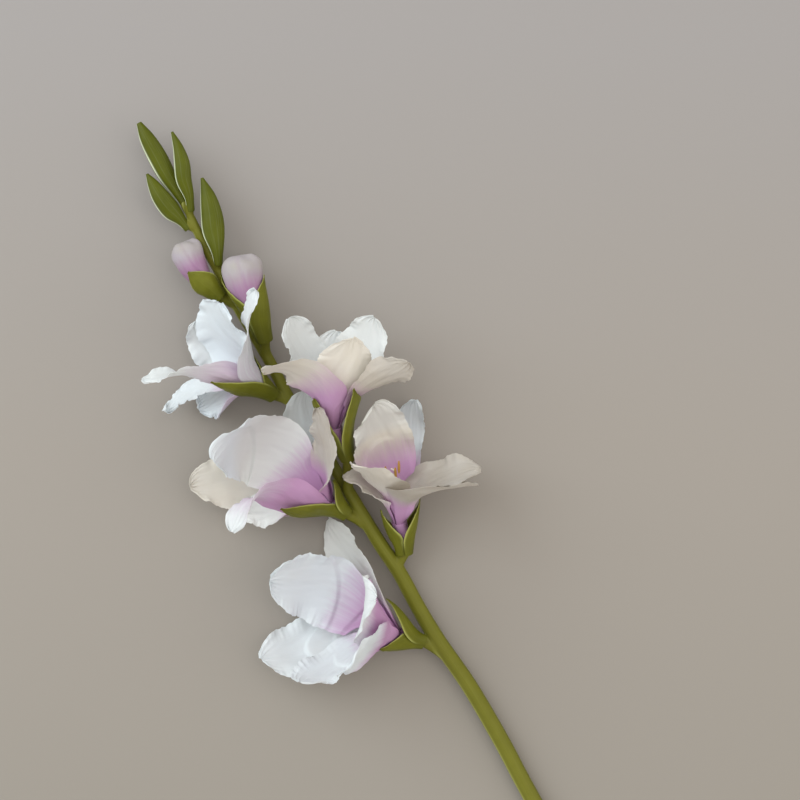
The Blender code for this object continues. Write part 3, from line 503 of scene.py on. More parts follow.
def fine_leaf(blade, rows, cols, seed, ruffle=0.7, rib=0.3, wander=0.25, notch=0.02, floor=0.25, root=0.0, soften=1,
              folds=()):
    """A fine grid of the leaf, with its place from the CAD solid, and s and t for each point."""
    base = np.linspace(0, 1, rows + 1)
    s = base + 0.06 * np.sin(math.pi * base)
    t = np.linspace(-1, 1, cols + 1)
    t = np.sign(t) * (1 - (1 - np.abs(t)) ** 1.15)  # columns closer together at the rim
    g = blade.surface(s, t)
    shift = cad_grid(blade) - blade.coarse()
    for _ in range(soften):
        pad = np.pad(shift, ((1, 1), (1, 1), (0, 0)), mode="edge")
        mean = (pad[:-2, 1:-1] + pad[2:, 1:-1] + pad[1:-1, :-2] + pad[1:-1, 2:]) / 4
        mean[0] = shift[0]
        shift = 0.65 * shift + 0.35 * mean
    g = g + spline_grid(shift, base * blade.rows, (t + 1) / 2 * blade.cols)
    if root:
        # the foot runs a little way into the tube that carries it
        back = g[0] - g[2]
        back /= np.linalg.norm(back, axis=1, keepdims=True)
        for q in range(4):
            g[q] += back * root * (1 - q / 4)
    n = grid_normals(g)
    S, T = np.meshgrid(s, t, indexing="ij")
    A = np.abs(T)
    sign = np.sign(T)
    free = smooth((S - 0.3) / 0.45)
    wave = 0.6 * ripple(seed, S * 7.5, sign * 3.1) + 0.4 * ripple(seed + 7, S * 15.0, sign * 5.3)
    off = ruffle * free * smooth((A - 0.35) / 0.65) ** 1.4 * wave
    # the end of the leaf waves across too
    off += 0.7 * ruffle * smooth((S - 0.8) / 0.2) ** 1.3 * ripple(seed + 3, T * 3.4, S)
    off += wander * smooth((S - 0.1) / 0.3) * ripple(seed + 11, S * 2.6, T * 1.7)
    off -= rib * np.exp(-((T / 0.07) ** 2)) * (1 - 0.75 * S) * smooth(S / 0.15)
    for f in folds:
        off += fold(S, T, *f)
    g = g + n * off[..., None]
    # small uneven bays along the margin, within the sheet
    pull = notch * free * smooth((A - 0.55) / 0.45) * (0.5 + 0.5 * ripple(seed + 5, S * 19.0, sign * 2.0))
    mid = g[:, cols // 2 : cols // 2 + 1]
    g = g + (mid - g) * pull[..., None]
    # a soft landing on the surface
    g[..., 2] = floor + 0.9 * np.logaddexp(0.0, (g[..., 2] - floor) / 0.9)
    return g, S, T


def sheet_mesh(g, thick, rim=0.45):
    """Vertices and faces of a closed sheet, thinner at its rim."""
    n, m = g.shape[:2]
    t = np.linspace(-1, 1, m)[None, :, None]
    s = np.linspace(0, 1, n)[:, None, None]
    th = thick * (1 - (1 - rim) * np.maximum(np.abs(t) ** 3, smooth((s - 0.85) / 0.15)))
    nrm = grid_normals(g)
    top, low = g + nrm * th / 2, g - nrm * th / 2
    verts = np.concatenate([top.reshape(-1, 3), low.reshape(-1, 3)])
    o = n * m
    i, j = np.meshgrid(np.arange(n - 1), np.arange(m - 1), indexing="ij")
    a = (i * m + j).ravel()
    b, c, d = a + 1, a + m + 1, a + m
    faces = np.concatenate([np.stack([d, c, b, a], 1), np.stack([a, b, c, d], 1) + o])
    ring = np.concatenate([
        np.arange(m - 1), (np.arange(n - 1) * m + m - 1), (n - 1) * m + np.arange(m - 1, 0, -1),
        np.arange(n - 1, 0, -1) * m,
    ])
    nxt = np.roll(ring, -1)
    faces = np.concatenate([faces, np.stack([ring, nxt, nxt + o, ring + o], 1)])
    return verts, faces


# ------------------------------------------------------------------- the mesh
def new_mesh(name, verts, faces, attrs=None, uv=None, smooth_angle=60):
    """verts in mm. attrs: name to a number for each vertex. uv: u, v for each vertex."""
    me = bpy.data.meshes.new(name)
    me.from_pydata([tuple(p) for p in (np.asarray(verts) * 0.001).tolist()], [], [tuple(f) for f in faces])
    for key, val in (attrs or {}).items():
        at_ = me.attributes.new(key, "FLOAT", "POINT")
        at_.data.foreach_set("value", np.asarray(val, np.float32).ravel())
    if uv is not None:
        layer = me.uv_layers.new(name="leaf")
        idx = np.empty(len(me.loops), int)
        me.loops.foreach_get("vertex_index", idx)
        layer.data.foreach_set("uv", np.asarray(uv, np.float32)[idx].ravel())
    bm = bmesh.new()
    bm.from_mesh(me)
    bmesh.ops.recalc_face_normals(bm, faces=bm.faces)
    if bm.calc_volume(signed=True) < 0:
        bmesh.ops.reverse_faces(bm, faces=bm.faces)
    bm.to_mesh(me)
    bm.free()
    me.shade_smooth()
    me.set_sharp_from_angle(angle=math.radians(smooth_angle))
    return me


def piece(name, me, material, slot, *nodes):
    ob = bpy.data.objects.new(name, me)
    bpy.context.scene.collection.objects.link(ob)
    me.materials.clear()
    me.materials.append(material)
    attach(ob, "root")
    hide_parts(*nodes)
    return ob


# ------------------------------------------------------------------ materials
class Tree:
    """Small helper to wire a node material."""

    def __init__(self, name):
        self.mat = bpy.data.materials.new(name)
        self.mat.use_nodes = True
        self.t = self.mat.node_tree
        self.t.nodes.clear()
        self.out = self.node("ShaderNodeOutputMaterial")
        self.coord = self.node("ShaderNodeTexCoord")

    def node(self, kind, **props):
        n = self.t.nodes.new(kind)
        for k, v in props.items():
            setattr(n, k, v)
        return n

    def link(self, a, b):
        self.t.links.new(a, b)
        return b

    def set(self, socket, value):
        if isinstance(value, bpy.types.NodeSocket):
            self.link(value, socket)
        else:
            socket.default_value = value

    def math(self, op, a, b=0.0, clamp=False):
        n = self.node("ShaderNodeMath", operation=op, use_clamp=clamp)
        self.set(n.inputs[0], a)
        if len(n.inputs) > 1:
            self.set(n.inputs[1], b)
        return n.outputs[0]

    def attr(self, name):
        return self.node("ShaderNodeAttribute", attribute_name=name).outputs["Fac"]

    def uv(self):
        return self.node("ShaderNodeUVMap", uv_map="leaf").outputs["UV"]

    def scaled(self, vector, scale, offset=(0, 0, 0)):
        n = self.node("ShaderNodeMapping")
        self.link(vector, n.inputs["Vector"])
        n.inputs["Scale"].default_value = scale
        n.inputs["Location"].default_value = offset
        return n.outputs[0]

    def noise(self, vector, scale, detail=3.0, rough=0.55, distort=0.0):
        n = self.node("ShaderNodeTexNoise")
        self.link(vector, n.inputs["Vector"])
        n.inputs["Scale"].default_value = scale
        n.inputs["Detail"].default_value = detail
        n.inputs["Roughness"].default_value = rough
        n.inputs["Distortion"].default_value = distort
        return n.outputs["Fac"]

    def remap(self, value, a, b, c=0.0, d=1.0):
        n = self.node("ShaderNodeMapRange", clamp=True)
        self.link(value, n.inputs["Value"])
        for key, v in zip(("From Min", "From Max", "To Min", "To Max"), (a, b, c, d)):
            n.inputs[key].default_value = v
        return n.outputs[0]

    def mix(self, factor, a, b):
        n = self.node("ShaderNodeMix", data_type="RGBA")
        self.set(n.inputs[0], factor)
        for socket, v in ((n.inputs[6], a), (n.inputs[7], b)):
            if isinstance(v, bpy.types.NodeSocket):
                self.link(v, socket)
            else:
                socket.default_value = (*v, 1.0)
        return n.outputs[2]

    def bump(self, height, strength, distance, normal=None):
        n = self.node("ShaderNodeBump")
        n.inputs["Strength"].default_value = strength
        n.inputs["Distance"].default_value = distance
        self.link(height, n.inputs["Height"])
        if normal is not None:
            self.link(normal, n.inputs["Normal"])
        return n.outputs[0]

    def finish(self, colour, rough, normal, specular=0.35, sheen=0.0, through=0.0, through_colour=None, coat=0.0):
        p = self.node("ShaderNodeBsdfPrincipled")
        self.set(p.inputs["Base Color"], colour)
        self.set(p.inputs["Roughness"], rough)
        self.link(normal, p.inputs["Normal"])
        p.inputs["Specular IOR Level"].default_value = specular
        p.inputs["Sheen Weight"].default_value = sheen
        p.inputs["Sheen Roughness"].default_value = 0.45
        p.inputs["Coat Weight"].default_value = coat
        p.inputs["Coat Roughness"].default_value = 0.35
        if through:
            tr = self.node("ShaderNodeBsdfTranslucent")
            self.set(tr.inputs["Color"], through_colour if through_colour is not None else colour)
            self.link(normal, tr.inputs["Normal"])
            m = self.node("ShaderNodeMixShader")
            m.inputs[0].default_value = through
            self.link(p.outputs[0], m.inputs[1])
            self.link(tr.outputs[0], m.inputs[2])
            self.link(m.outputs[0], self.out.inputs["Surface"])
        else:
            self.link(p.outputs[0], self.out.inputs["Surface"])
        return self.mat


# Cool white of a lit tepal; ivory and beige are painted shade for tepals in shade and in deeper shade
WHITE_PETAL = (0.86, 0.93, 0.985)
IVORY_PETAL_IN_SHADE = (0.87, 0.84, 0.77)
BEIGE_PETAL_IN_DEEP_SHADE = (0.52, 0.47, 0.41)
CREAM_PETAL = (0.92, 0.86, 0.74)
LILAC_PETAL = (0.66, 0.40, 0.64)
PURPLE_PETAL = (0.40, 0.16, 0.36)


def petal_material(name, through=0.30):
    """White tepal: lilac towards its foot, with fine lengthwise veins and a soft cell grain, and painted shade that
    turns it ivory, then beige.
    """
    m = Tree(name)
    uv, obj = m.uv(), m.coord.outputs["Object"]
    tint, depth, painted_shade = m.attr("tint"), m.attr("deep"), m.attr("painted_shade")
    veins = m.noise(m.scaled(uv, (26.0, 0.9, 1.0)), 1.0, 2.0, 0.5, 0.15)
    fine = m.noise(m.scaled(uv, (90.0, 2.6, 1.0)), 1.0, 3.0, 0.6, 0.1)
    cloud = m.noise(obj, 45.0, 3.0)
    wash = m.noise(obj, 22.0, 2.0)
    grain = m.noise(obj, 2600.0, 2.0, 0.6)
    streak = m.math("ADD", m.math("MULTIPLY", veins, 0.9), m.math("MULTIPLY", fine, 0.5))
    # the lilac runs out along the veins
    edge = m.math("ADD", m.math("MULTIPLY", tint, 1.35), m.math("MULTIPLY", m.math("SUBTRACT", streak, 0.7), 0.55))
    edge = m.math("ADD", edge, m.math("MULTIPLY", m.math("SUBTRACT", wash, 0.5), 0.5))
    edge = m.math("MULTIPLY", m.remap(edge, 0.05, 1.05), m.remap(tint, 0.0, 0.16))
    # painted shade: a tepal in shade turns ivory, and from 1 to 2 further to a darker beige
    base = m.mix(m.remap(painted_shade, 0.0, 1.0), WHITE_PETAL, IVORY_PETAL_IN_SHADE)
    base = m.mix(m.remap(painted_shade, 1.0, 2.0), base, BEIGE_PETAL_IN_DEEP_SHADE)
    base = m.mix(m.math("MULTIPLY", m.remap(cloud, 0.42, 0.72), 0.30), base, (0.80, 0.81, 0.81))
    base = m.mix(m.math("MULTIPLY", m.remap(fine, 0.52, 0.75), 0.10), base, (0.74, 0.72, 0.76))
    colour = m.mix(edge, base, LILAC_PETAL)
    colour = m.mix(m.math("MULTIPLY", depth, m.remap(streak, 0.45, 0.9, 0.6, 1.0)), colour, PURPLE_PETAL)
    n1 = m.bump(streak, 0.22, 0.0005)
    n2 = m.bump(grain, 0.10, 0.0002, n1)
    rough = m.remap(cloud, 0.3, 0.7, 0.52, 0.66)
    glow = m.mix(0.45, colour, CREAM_PETAL)
    glow = m.mix(m.math("MULTIPLY", edge, 0.7), glow, LILAC_PETAL)
    return m.finish(colour, rough, n2, specular=0.22, sheen=0.06, through=through, through_colour=glow)


def green_material(name, base, light, dark, stripe, gloss=0.42, edge_light=0.0):
    """Waxy green: lengthwise fibres, patches and fine grain, paler where pale margins, a pale cut end and painted
    highlight lines are marked, and darker where shade is marked.
    """
    m = Tree(name)
    uv, obj = m.uv(), m.coord.outputs["Object"]
    fibre = m.noise(m.scaled(uv, (stripe, 1.2, 1.0)), 1.0, 3.0, 0.6, 0.1)
    patch = m.noise(obj, 70.0, 4.0, 0.6)
    grain = m.noise(obj, 1800.0, 2.0, 0.6)
    colour = m.mix(m.math("MULTIPLY", m.remap(patch, 0.3, 0.72), 0.5), base, dark)
    colour = m.mix(m.math("MULTIPLY", m.remap(fibre, 0.5, 0.78), 0.08), colour, light)
    colour = m.mix(m.math("MULTIPLY", m.remap(grain, 0.55, 0.8), 0.12), colour, dark)
    # paler at pale margins and the cut end, and at painted highlight lines
    colour = m.mix(m.attr("pale"), colour, light)
    colour = m.mix(m.attr("shade"), colour, dark)
    n1 = m.bump(fibre, 0.22, 0.0006)
    n2 = m.bump(grain, 0.15, 0.0002, n1)
    rough = m.remap(fibre, 0.3, 0.8, gloss - 0.06, gloss + 0.1)
    return m.finish(colour, rough, n2, specular=0.14, through=0.0)


def stamen_material(name):
    m = Tree(name)
    obj = m.coord.outputs["Object"]
    dust = m.noise(obj, 3200.0, 3.0, 0.7)
    patch = m.noise(obj, 400.0, 3.0)
    anther, tip = m.attr("anther"), m.attr("lobe")
    thread = m.mix(m.remap(patch, 0.3, 0.7), (0.74, 0.66, 0.72), (0.60, 0.44, 0.58))
    pollen = m.mix(m.remap(dust, 0.35, 0.7), (0.62, 0.36, 0.07), (0.42, 0.20, 0.05))
    colour = m.mix(anther, thread, pollen)
    colour = m.mix(tip, colour, (0.78, 0.70, 0.62))
    n = m.bump(dust, 0.5, 0.0003)
    return m.finish(colour, m.remap(dust, 0.3, 0.7, 0.55, 0.8), n, specular=0.25, sheen=0.1)


def bud_petal_material(name):
    """Furled tepals of an opening bud: lilac below, pale green-white above."""
    m = Tree(name)
    uv, obj = m.uv(), m.coord.outputs["Object"]
    veins = m.noise(m.scaled(uv, (34.0, 1.1, 1.0)), 1.0, 3.0, 0.55, 0.15)
    cloud = m.noise(obj, 80.0, 3.0)
    grain = m.noise(obj, 2600.0, 2.0, 0.6)
    tint = m.math("ADD", m.attr("tint"), m.math("MULTIPLY", m.math("SUBTRACT", veins, 0.5), 0.6))
    top = m.mix(m.remap(cloud, 0.35, 0.7), (0.43, 0.385, 0.43), (0.42, 0.39, 0.37))
    top = m.mix(m.math("MULTIPLY", m.remap(veins, 0.52, 0.75), 0.3), top, (0.46, 0.44, 0.38))
    colour = m.mix(m.remap(tint, 0.12, 0.95), top, (0.36, 0.20, 0.33))
    # deep purple at the foot, and painted shade in the creases
    colour = m.mix(m.attr("deep"), colour, (0.34, 0.16, 0.30))
    n1 = m.bump(veins, 0.4, 0.0006)
    n2 = m.bump(grain, 0.12, 0.0002, n1)
    return m.finish(colour, m.remap(cloud, 0.3, 0.7, 0.45, 0.6), n2, specular=0.32, sheen=0.1, through=0.1,
                    through_colour=m.mix(0.4, colour, CREAM_PETAL))


# ----------------------------------------------------------------- the florets
# How far the lilac runs up each tepal, and how strong it is there
TINT = {
    "floret_1_inner_tepal_1": (0.52, 0.9), "floret_1_inner_tepal_2": (0.40, 0.8),
    "floret_1_inner_tepal_3": (0.72, 1.25), "floret_1_outer_tepal_1": (0.30, 0.9),
    "floret_1_outer_tepal_2": (0.24, 0.5), "floret_1_outer_tepal_3": (0.60, 1.15),
    "floret_2_inner_tepal_1": (0.30, 0.7), "floret_2_inner_tepal_2": (0.60, 1.25),
    "floret_2_inner_tepal_3": (0.42, 0.9), "floret_2_outer_tepal_3": (0.34, 1.0),
    "floret_2_outer_tepal_1": (0.56, 1.1), "floret_2_outer_tepal_2": (0.36, 0.9),
    "floret_3_outer_tepal_3": (0.92, 1.0), "floret_3_inner_tepal_3": (0.44, 1.0),
    "floret_3_inner_tepal_1": (0.40, 1.0), "floret_3_inner_tepal_2": (0.50, 1.0),
    "floret_3_outer_tepal_1": (0.30, 0.8), "floret_3_outer_tepal_2": (0.30, 0.8),
    "floret_4_outer_tepal_3": (0.66, 1.1), "floret_4_inner_tepal_1": (0.52, 1.1),
    "floret_4_outer_tepal_1": (0.56, 1.0), "floret_4_inner_tepal_3": (0.40, 0.8),
    "floret_4_outer_tepal_2": (0.36, 0.8), "floret_4_inner_tepal_2": (0.36, 0.8),
    "floret_5_outer_tepal_3": (0.9, 0.16), "floret_5_inner_tepal_3": (0.8, 0.42),
    "floret_5_inner_tepal_1": (0.34, 0.9), "floret_5_outer_tepal_2": (0.7, 0.4),
    "floret_5_inner_tepal_2": (0.50, 0.7), "floret_5_outer_tepal_1": (0.34, 0.8),
}
# Painted shade on each tepal: 0 is a cool white, 1 an ivory tepal in shade, 2 a darker beige one in deeper shade
PAINTED_SHADE_BY_TEPAL = {
    "floret_1_outer_tepal_1": 0.5, "floret_1_inner_tepal_1": 0.1, "floret_1_inner_tepal_2": 0.15,
    "floret_1_outer_tepal_2": 0.15, "floret_1_inner_tepal_3": 0.2, "floret_1_outer_tepal_3": 0.0,
    "floret_2_inner_tepal_1": 1.75, "floret_2_outer_tepal_1": 0, "floret_2_inner_tepal_2": 1.6,
    "floret_2_outer_tepal_2": 1.0, "floret_2_inner_tepal_3": 1.3, "floret_2_outer_tepal_3": 1.75,
    "floret_3_inner_tepal_1": 0.5, "floret_3_outer_tepal_1": 0.2, "floret_3_outer_tepal_2": 1.1,
    "floret_3_inner_tepal_2": 0.5, "floret_3_outer_tepal_3": 0.3, "floret_3_inner_tepal_3": 1.85,
    "floret_4_inner_tepal_1": 1, "floret_4_outer_tepal_1": 1.55, "floret_4_inner_tepal_2": 0.4,
    "floret_4_outer_tepal_2": 0.3, "floret_4_inner_tepal_3": 0.3, "floret_4_outer_tepal_3": 1.35,
    "floret_5_inner_tepal_1": 0.0, "floret_5_outer_tepal_1": 0.2, "floret_5_inner_tepal_2": 0.1,
    "floret_5_outer_tepal_2": 0.0, "floret_5_inner_tepal_3": 0.3, "floret_5_outer_tepal_3": 0.2,
}
# Tepals that lie against the surface are drawn smoother
SOFTEN = {"floret_1_outer_tepal_2": 5, "floret_1_inner_tepal_2": 4, "floret_5_outer_tepal_2": 3, "floret_2_inner_tepal_3": 2}
RUFFLE = {
    "floret_2_inner_tepal_3": 0.7, "floret_2_outer_tepal_3": 0.8,
    "floret_1_outer_tepal_2": 0.7, "floret_1_inner_tepal_2": 0.8, "floret_2_inner_tepal_1": 0.9,
    "floret_5_inner_tepal_1": 1.4, "floret_5_inner_tepal_2": 2, "floret_5_outer_tepal_2": 1.7,
    "floret_5_inner_tepal_3": 1.4, "floret_3_inner_tepal_1": 0.7, "floret_3_outer_tepal_1": 0.4,
    "floret_4_outer_tepal_3": 0.6, "floret_3_outer_tepal_2": 1.1, "floret_3_inner_tepal_2": 1.2,
}


# Soft steps where a tepal folds over itself: curve across it, from t, to t, height, width, fade
FOLDS = {
    "floret_1_inner_tepal_1": [((0.46, 0.12, 0.06), -1.4, 1.5, -1.8, 0.035, 0.24), ((0.24, -0.05), -1.4, 1.5, -1.4, 0.030, 0.16)],
    "floret_1_outer_tepal_2": [((0.66, 0.0, -0.34), -0.6, 1.3, 2.0, 0.030, 0.24), ((0.44, 0.05, -0.26), -1.3, 0.4, 2.0, 0.030, 0.20)],
    "floret_1_inner_tepal_2": [((0.55, 0.1, -0.25), -0.9, 0.6, 1.4, 0.030, 0.25)],
    "floret_3_inner_tepal_1": [((0.62, 0.14, 0.04), -1.4, 0.55, 2.0, 0.030, 0.26)],
    "floret_3_outer_tepal_1": [((0.55, -0.12), -0.8, 0.8, 1.4, 0.030, 0.26)],
    "floret_2_inner_tepal_2": [((0.62, 0.05, -0.20), -1.4, 0.5, 1.6, 0.030, 0.24)],
}
# Tepals whose painted shade eases off towards their far part, so that it is whiter than their foot: where it starts,
# over how long, and by how much
SHADE_EASES_TOWARD_TIP = {"floret_2_inner_tepal_2": (0.50, 0.25, 1.0), "floret_3_inner_tepal_1": (0.62, 0.2, 0.4)}


def tepals(material):
    for i, f in enumerate(FLORETS, 1):
        for k, b in enumerate(make_tepals(i, f)):
            folds = FOLDS.get(b.name, ())
            g, S, T = fine_leaf(b, 120 if folds else 60, 72 if folds else 40, 100 * i + 10 * k,
                                ruffle=RUFFLE.get(b.name, 1.1), notch=0.05, root=1.6, soften=SOFTEN.get(b.name, 1), folds=folds)
            far, strength = TINT.get(b.name, (0.34, 0.8))
            tint = strength * (1 - smooth((S - 0.25 * far) / (0.9 * far)))
            deep = 0.55 * strength * (1 - smooth(S / (0.5 * far)))
            verts, faces = sheet_mesh(g, 0.4, 0.3)
            verts[:, 2] = np.maximum(verts[:, 2], 0.03)
            u, v = np.tile(((T + 1) / 2).ravel(), 2), np.tile(S.ravel(), 2)
            # painted shade for each tepal, easing towards its far part where listed
            begin, over, less = SHADE_EASES_TOWARD_TIP.get(b.name, (0.5, 0.3, 0.0))
            painted_shade = np.clip(PAINTED_SHADE_BY_TEPAL.get(b.name, 0.4) - less * smooth((S - begin) / over), 0, 2)
            painted_shade = np.tile(painted_shade.ravel(), 2)
            me = new_mesh(f"{b.name}_sheet", verts, faces,
                          {"tint": np.tile(tint.ravel(), 2), "deep": np.tile(deep.ravel(), 2), "painted_shade": painted_shade},
                          np.stack([u + k, v + i], 1))
            piece(f"petal_{b.name}", me, material, "tepal_white", b.name)


def bracts(material):
    for i, f in enumerate(FLORETS + OPENING_BUDS, 1):
        for k, b in enumerate(make_bracts(i, f)):
            g, S, T = fine_leaf(b, 48, 28, 900 + 10 * i + k, ruffle=0.25, rib=-0.15, wander=0.12, notch=0.0)
            verts, faces = sheet_mesh(g, 0.7, 0.5)
            # paler along both margins
            pale = 0.75 * smooth((np.abs(T) - 0.86) / 0.12) * smooth((S - 0.05) / 0.2)
            shade = 0.5 * (1 - smooth(S / 0.35)) + 0.35 * smooth((S - 0.75) / 0.25)
            u, v = np.tile(((T + 1) / 2).ravel(), 2), np.tile(S.ravel(), 2)
            me = new_mesh(f"{b.name}_sheet", verts, faces,
                          {"pale": np.tile(pale.ravel(), 2), "shade": np.tile(shade.ravel(), 2)},
                          np.stack([u + k, v + i], 1))
            piece(f"leaf_{b.name}", me, material, "bract_green", b.name)


def closed_rings(r):
    """Vertices and faces of a solid through rings, with the ends closed by small fans."""
    n, m = r.shape[:2]
    verts = np.concatenate([r.reshape(-1, 3), r[0].mean(0)[None], r[-1].mean(0)[None]])
    faces = []
    for i in range(n - 1):
        for j in range(m):
            k = (j + 1) % m
            faces.append((i * m + j, (i + 1) * m + j, (i + 1) * m + k, i * m + k))
    for j in range(m):
        k = (j + 1) % m
        faces.append((n * m, j, k))
        faces.append((n * m + 1, (n - 1) * m + k, (n - 1) * m + j))
    return verts, faces


def tubes(material):
    for i, f in enumerate(FLORETS, 1):
        rows, sides = 28, 36
        path = tube_path(f, rows)
        k = smooth(np.linspace(0, 1, rows))
        r_out = TUBE_FOOT_R + (TUBE_MOUTH_R - TUBE_FOOT_R) * k
        a = np.linspace(0, 2 * math.pi, sides, endpoint=False)
        ref = np.array([0, 0, 1.0])
        outer = rings(path, ref, r_out, r_out, sides)
        ribs = 1 + 0.035 * np.cos(6 * a + 0.5)[None, :, None] * k[:, None, None]
        outer = path[:, None] + (outer - path[:, None]) * ribs
        inner = path[:, None] + (outer - path[:, None]) * ((r_out - 0.7) / r_out)[:, None, None]
        inner = inner[rows // 3 :]
        r = np.concatenate([outer, inner[::-1]])
        verts, faces = closed_rings(r)
        along = np.concatenate([np.linspace(0, 1, rows), np.linspace(0, 1, rows)[rows // 3 :][::-1]])
        tint = np.append(np.repeat(0.75 + 0.25 * along, sides), [1, 1])
        deep = np.append(np.repeat(0.75 - 0.3 * along, sides), [0.8, 0.8])
        uv = np.stack([np.append(np.tile(a / (2 * math.pi), len(along)), [0, 0]) * 1.5,
                       np.append(np.repeat(along, sides), [0, 0])], 1)
        me = new_mesh(f"floret_{i}_tube_skin", verts, faces, {"tint": tint, "deep": deep, "painted_shade": tint * 0}, uv)
        piece(f"throat_floret_{i}_tube", me, material, "tube_lilac", f"floret_{i}_tube")


def round_arm(curve, radius, sides, squash=1.0, groove=0.0):
    """Rings of a round thread along a curve; squash flattens it, groove runs along one side."""
    a = np.linspace(0, 2 * math.pi, sides, endpoint=False)
    r = rings(curve, np.array([0.13, 0.2, 0.97]), radius, np.asarray(radius) * squash, sides)
    if groove:
        cut = 1 - groove * np.exp(-(((a - math.pi / 2) / 0.5) ** 2))
        r = curve[:, None] + (r - curve[:, None]) * cut[None, :, None]
    return r


def stamens(material):
    for i, f in enumerate(FLORETS, 1):
        mouth, a, e1, e2 = floret_frame(f)
        path = tube_path(f, 7)
        foot = path[3] + (path[4] - path[3]) * 0.5
        b = unit(mouth - foot)
        u = unit(e1 - (e1 @ b) * b)
        v = np.cross(b, u)
        reach, waist = f.get("stamen_reach", 20.0), f.get("stamen_waist", 1.5)
        spread = f.get("stamen_spread", 0.07)
        if reach > 30:
            reach, spread = reach + 2.0, spread + 0.04
        verts, faces, anther, lobe = [], [], [], []

        def add(r, is_anther=0.0, is_lobe=0.0):
            vv, ff = closed_rings(r)
            base = len(verts)
            verts.extend(vv)
            faces.extend([tuple(q + base for q in face) for face in ff])
            anther.extend([is_anther] * len(vv))
            lobe.extend([is_lobe] * len(vv))

        for q in range(3):
            ang = math.radians(60 + 120 * q + f.get("stamen_turn", 0))
            d = u * math.cos(ang) + v * math.sin(ang)
            root = foot + b * 0.6 + d * 1.2
            top = mouth + a * reach + d * (1.2 + spread * reach)
            bends = (root, foot + b * 6 + d * waist, mouth + a * 2 + d * (waist - 0.1), top)
            thread, span = bezier(bends, np.linspace(0, 0.78, 26))
            add(round_arm(thread, np.linspace(0.5, 0.3, 26), 10))
            length = min(9.0, 0.5 * reach + 3)
            share = length / span
            sac, _ = bezier(bends, np.linspace(1 - share, 1, 18))
            k = np.linspace(0, 1, 18)
            width = 0.85 * np.clip(np.sin(math.pi * np.clip(k * 0.96 + 0.02, 0, 1)), 0, 1) ** 0.35
            add(round_arm(sac, width, 14, 0.8, 0.35), 1.0)
        # the style, a little longer than the stamens, with three flat lobes
        lift = unit(a + 0.10 * e1)
        tip = mouth + lift * (reach * 0.96)
        style, _ = bezier((foot + b * 0.5, foot + b * 7, mouth + a * 2, tip), np.linspace(0, 1, 26))
        add(round_arm(style, np.linspace(0.4, 0.26, 26), 10))
        for q in range(3):
            ang = math.radians(120 * q)
            d = e1 * math.cos(ang) + e2 * math.sin(ang)
            arm, _ = bezier((tip - a * 0.3, tip + a * 0.6, tip + a * 1.2 + d * 0.9, tip + a * 1.5 + d * 1.9), 9)
            add(round_arm(arm, np.array([0.26, 0.28, 0.32, 0.4, 0.48, 0.54, 0.55, 0.45, 0.2]), 8, 0.5), 0.0, 1.0)
        me = new_mesh(f"floret_{i}_stamen_set", verts, faces, {"anther": anther, "lobe": lobe})
        piece(f"anthers_floret_{i}", me, material, "stamen_yellow", f"floret_{i}_stamens")


def opening_buds(material):
    for q, f in enumerate(OPENING_BUDS):
        rows, sides = 64, 72
        pts = [np.append(at(x, y, h), (rx, ry)) for x, y, h, rx, ry in f["path"]]
        c = through(pts, rows)
        k = np.linspace(0, 1, rows)
        # the top closes as a rounded cap
        cap = np.clip(1 - (np.clip((k - 0.88) / 0.12, 0, 1)) ** 3.0, 0.0, 1) ** 0.42
        cap = np.maximum(cap, 0.05)
        grow = np.maximum(c[:, 3:5], 0) * cap[:, None] * (1 + 0.12 * np.clip((k - 0.66) / 0.22, 0, 1) * cap)[:, None]
        r = rings(c[:, :3], np.array([0, 0, 1.0]), grow[:, 0], grow[:, 1], sides)
        a = np.linspace(0, 2 * math.pi, sides, endpoint=False)
        A, K = np.meshgrid(a, k)
        fold = np.zeros_like(A)
        crease = np.zeros_like(A)
        for w in range(3):
            # each tepal overlaps the next: a low step with a soft crease beside it
            line = 2 * math.pi * w / 3 + 0.5 + 1.3 * K + 0.25 * np.sin(4 * K + w)
            x = (A - line + math.pi) % (2 * math.pi) - math.pi
            fold += 0.075 * smooth((x + 0.9) / 0.9) * (x < 0) + 0.075 * np.exp(-((x / 0.10) ** 2)) * (x >= 0)
            crease += np.exp(-(((x - 0.14) / 0.11) ** 2))
        scale = 1 + (fold - 0.05 * crease) * smooth(K / 0.25) + 0.02 * np.sin(5 * A + 9 * K)
        r = c[:, None, :3] + (r - c[:, None, :3]) * scale[..., None]
        # the rim is uneven, with the ends of the tepals turned a little
        along = unit(c[-1, :3] - c[-8, :3])
        lobes = 0.9 * np.sin(3 * A + 0.8 + q) + 0.5 * np.sin(5 * A + 2.0 * q)
        r = r + along * (lobes * smooth((K - 0.72) / 0.18) * (1 - smooth((K - 0.965) / 0.035)))[..., None]
        verts, faces = closed_rings(r)
        tint = (1 - smooth((K - 0.46) / 0.40)).ravel()
        # deep purple towards the foot, and painted shade along the creases between the furled tepals
        deep = (0.5 * (1 - smooth(K / 0.35)) + 0.35 * crease * (1 - 0.7 * K)).ravel()
        uv = np.stack([np.append(A.ravel() / (2 * math.pi), [0, 0]), np.append(K.ravel(), [0, 1])], 1)
        me = new_mesh(f"{f['name']}_furled", verts, faces,
                      {"tint": np.append(tint, [1, 0]), "deep": np.append(np.clip(deep, 0, 1), [0, 0])}, uv)
        piece(f"furled_{f['name']}", me, material, "tepal_white", f"{f['name']}_tepals")


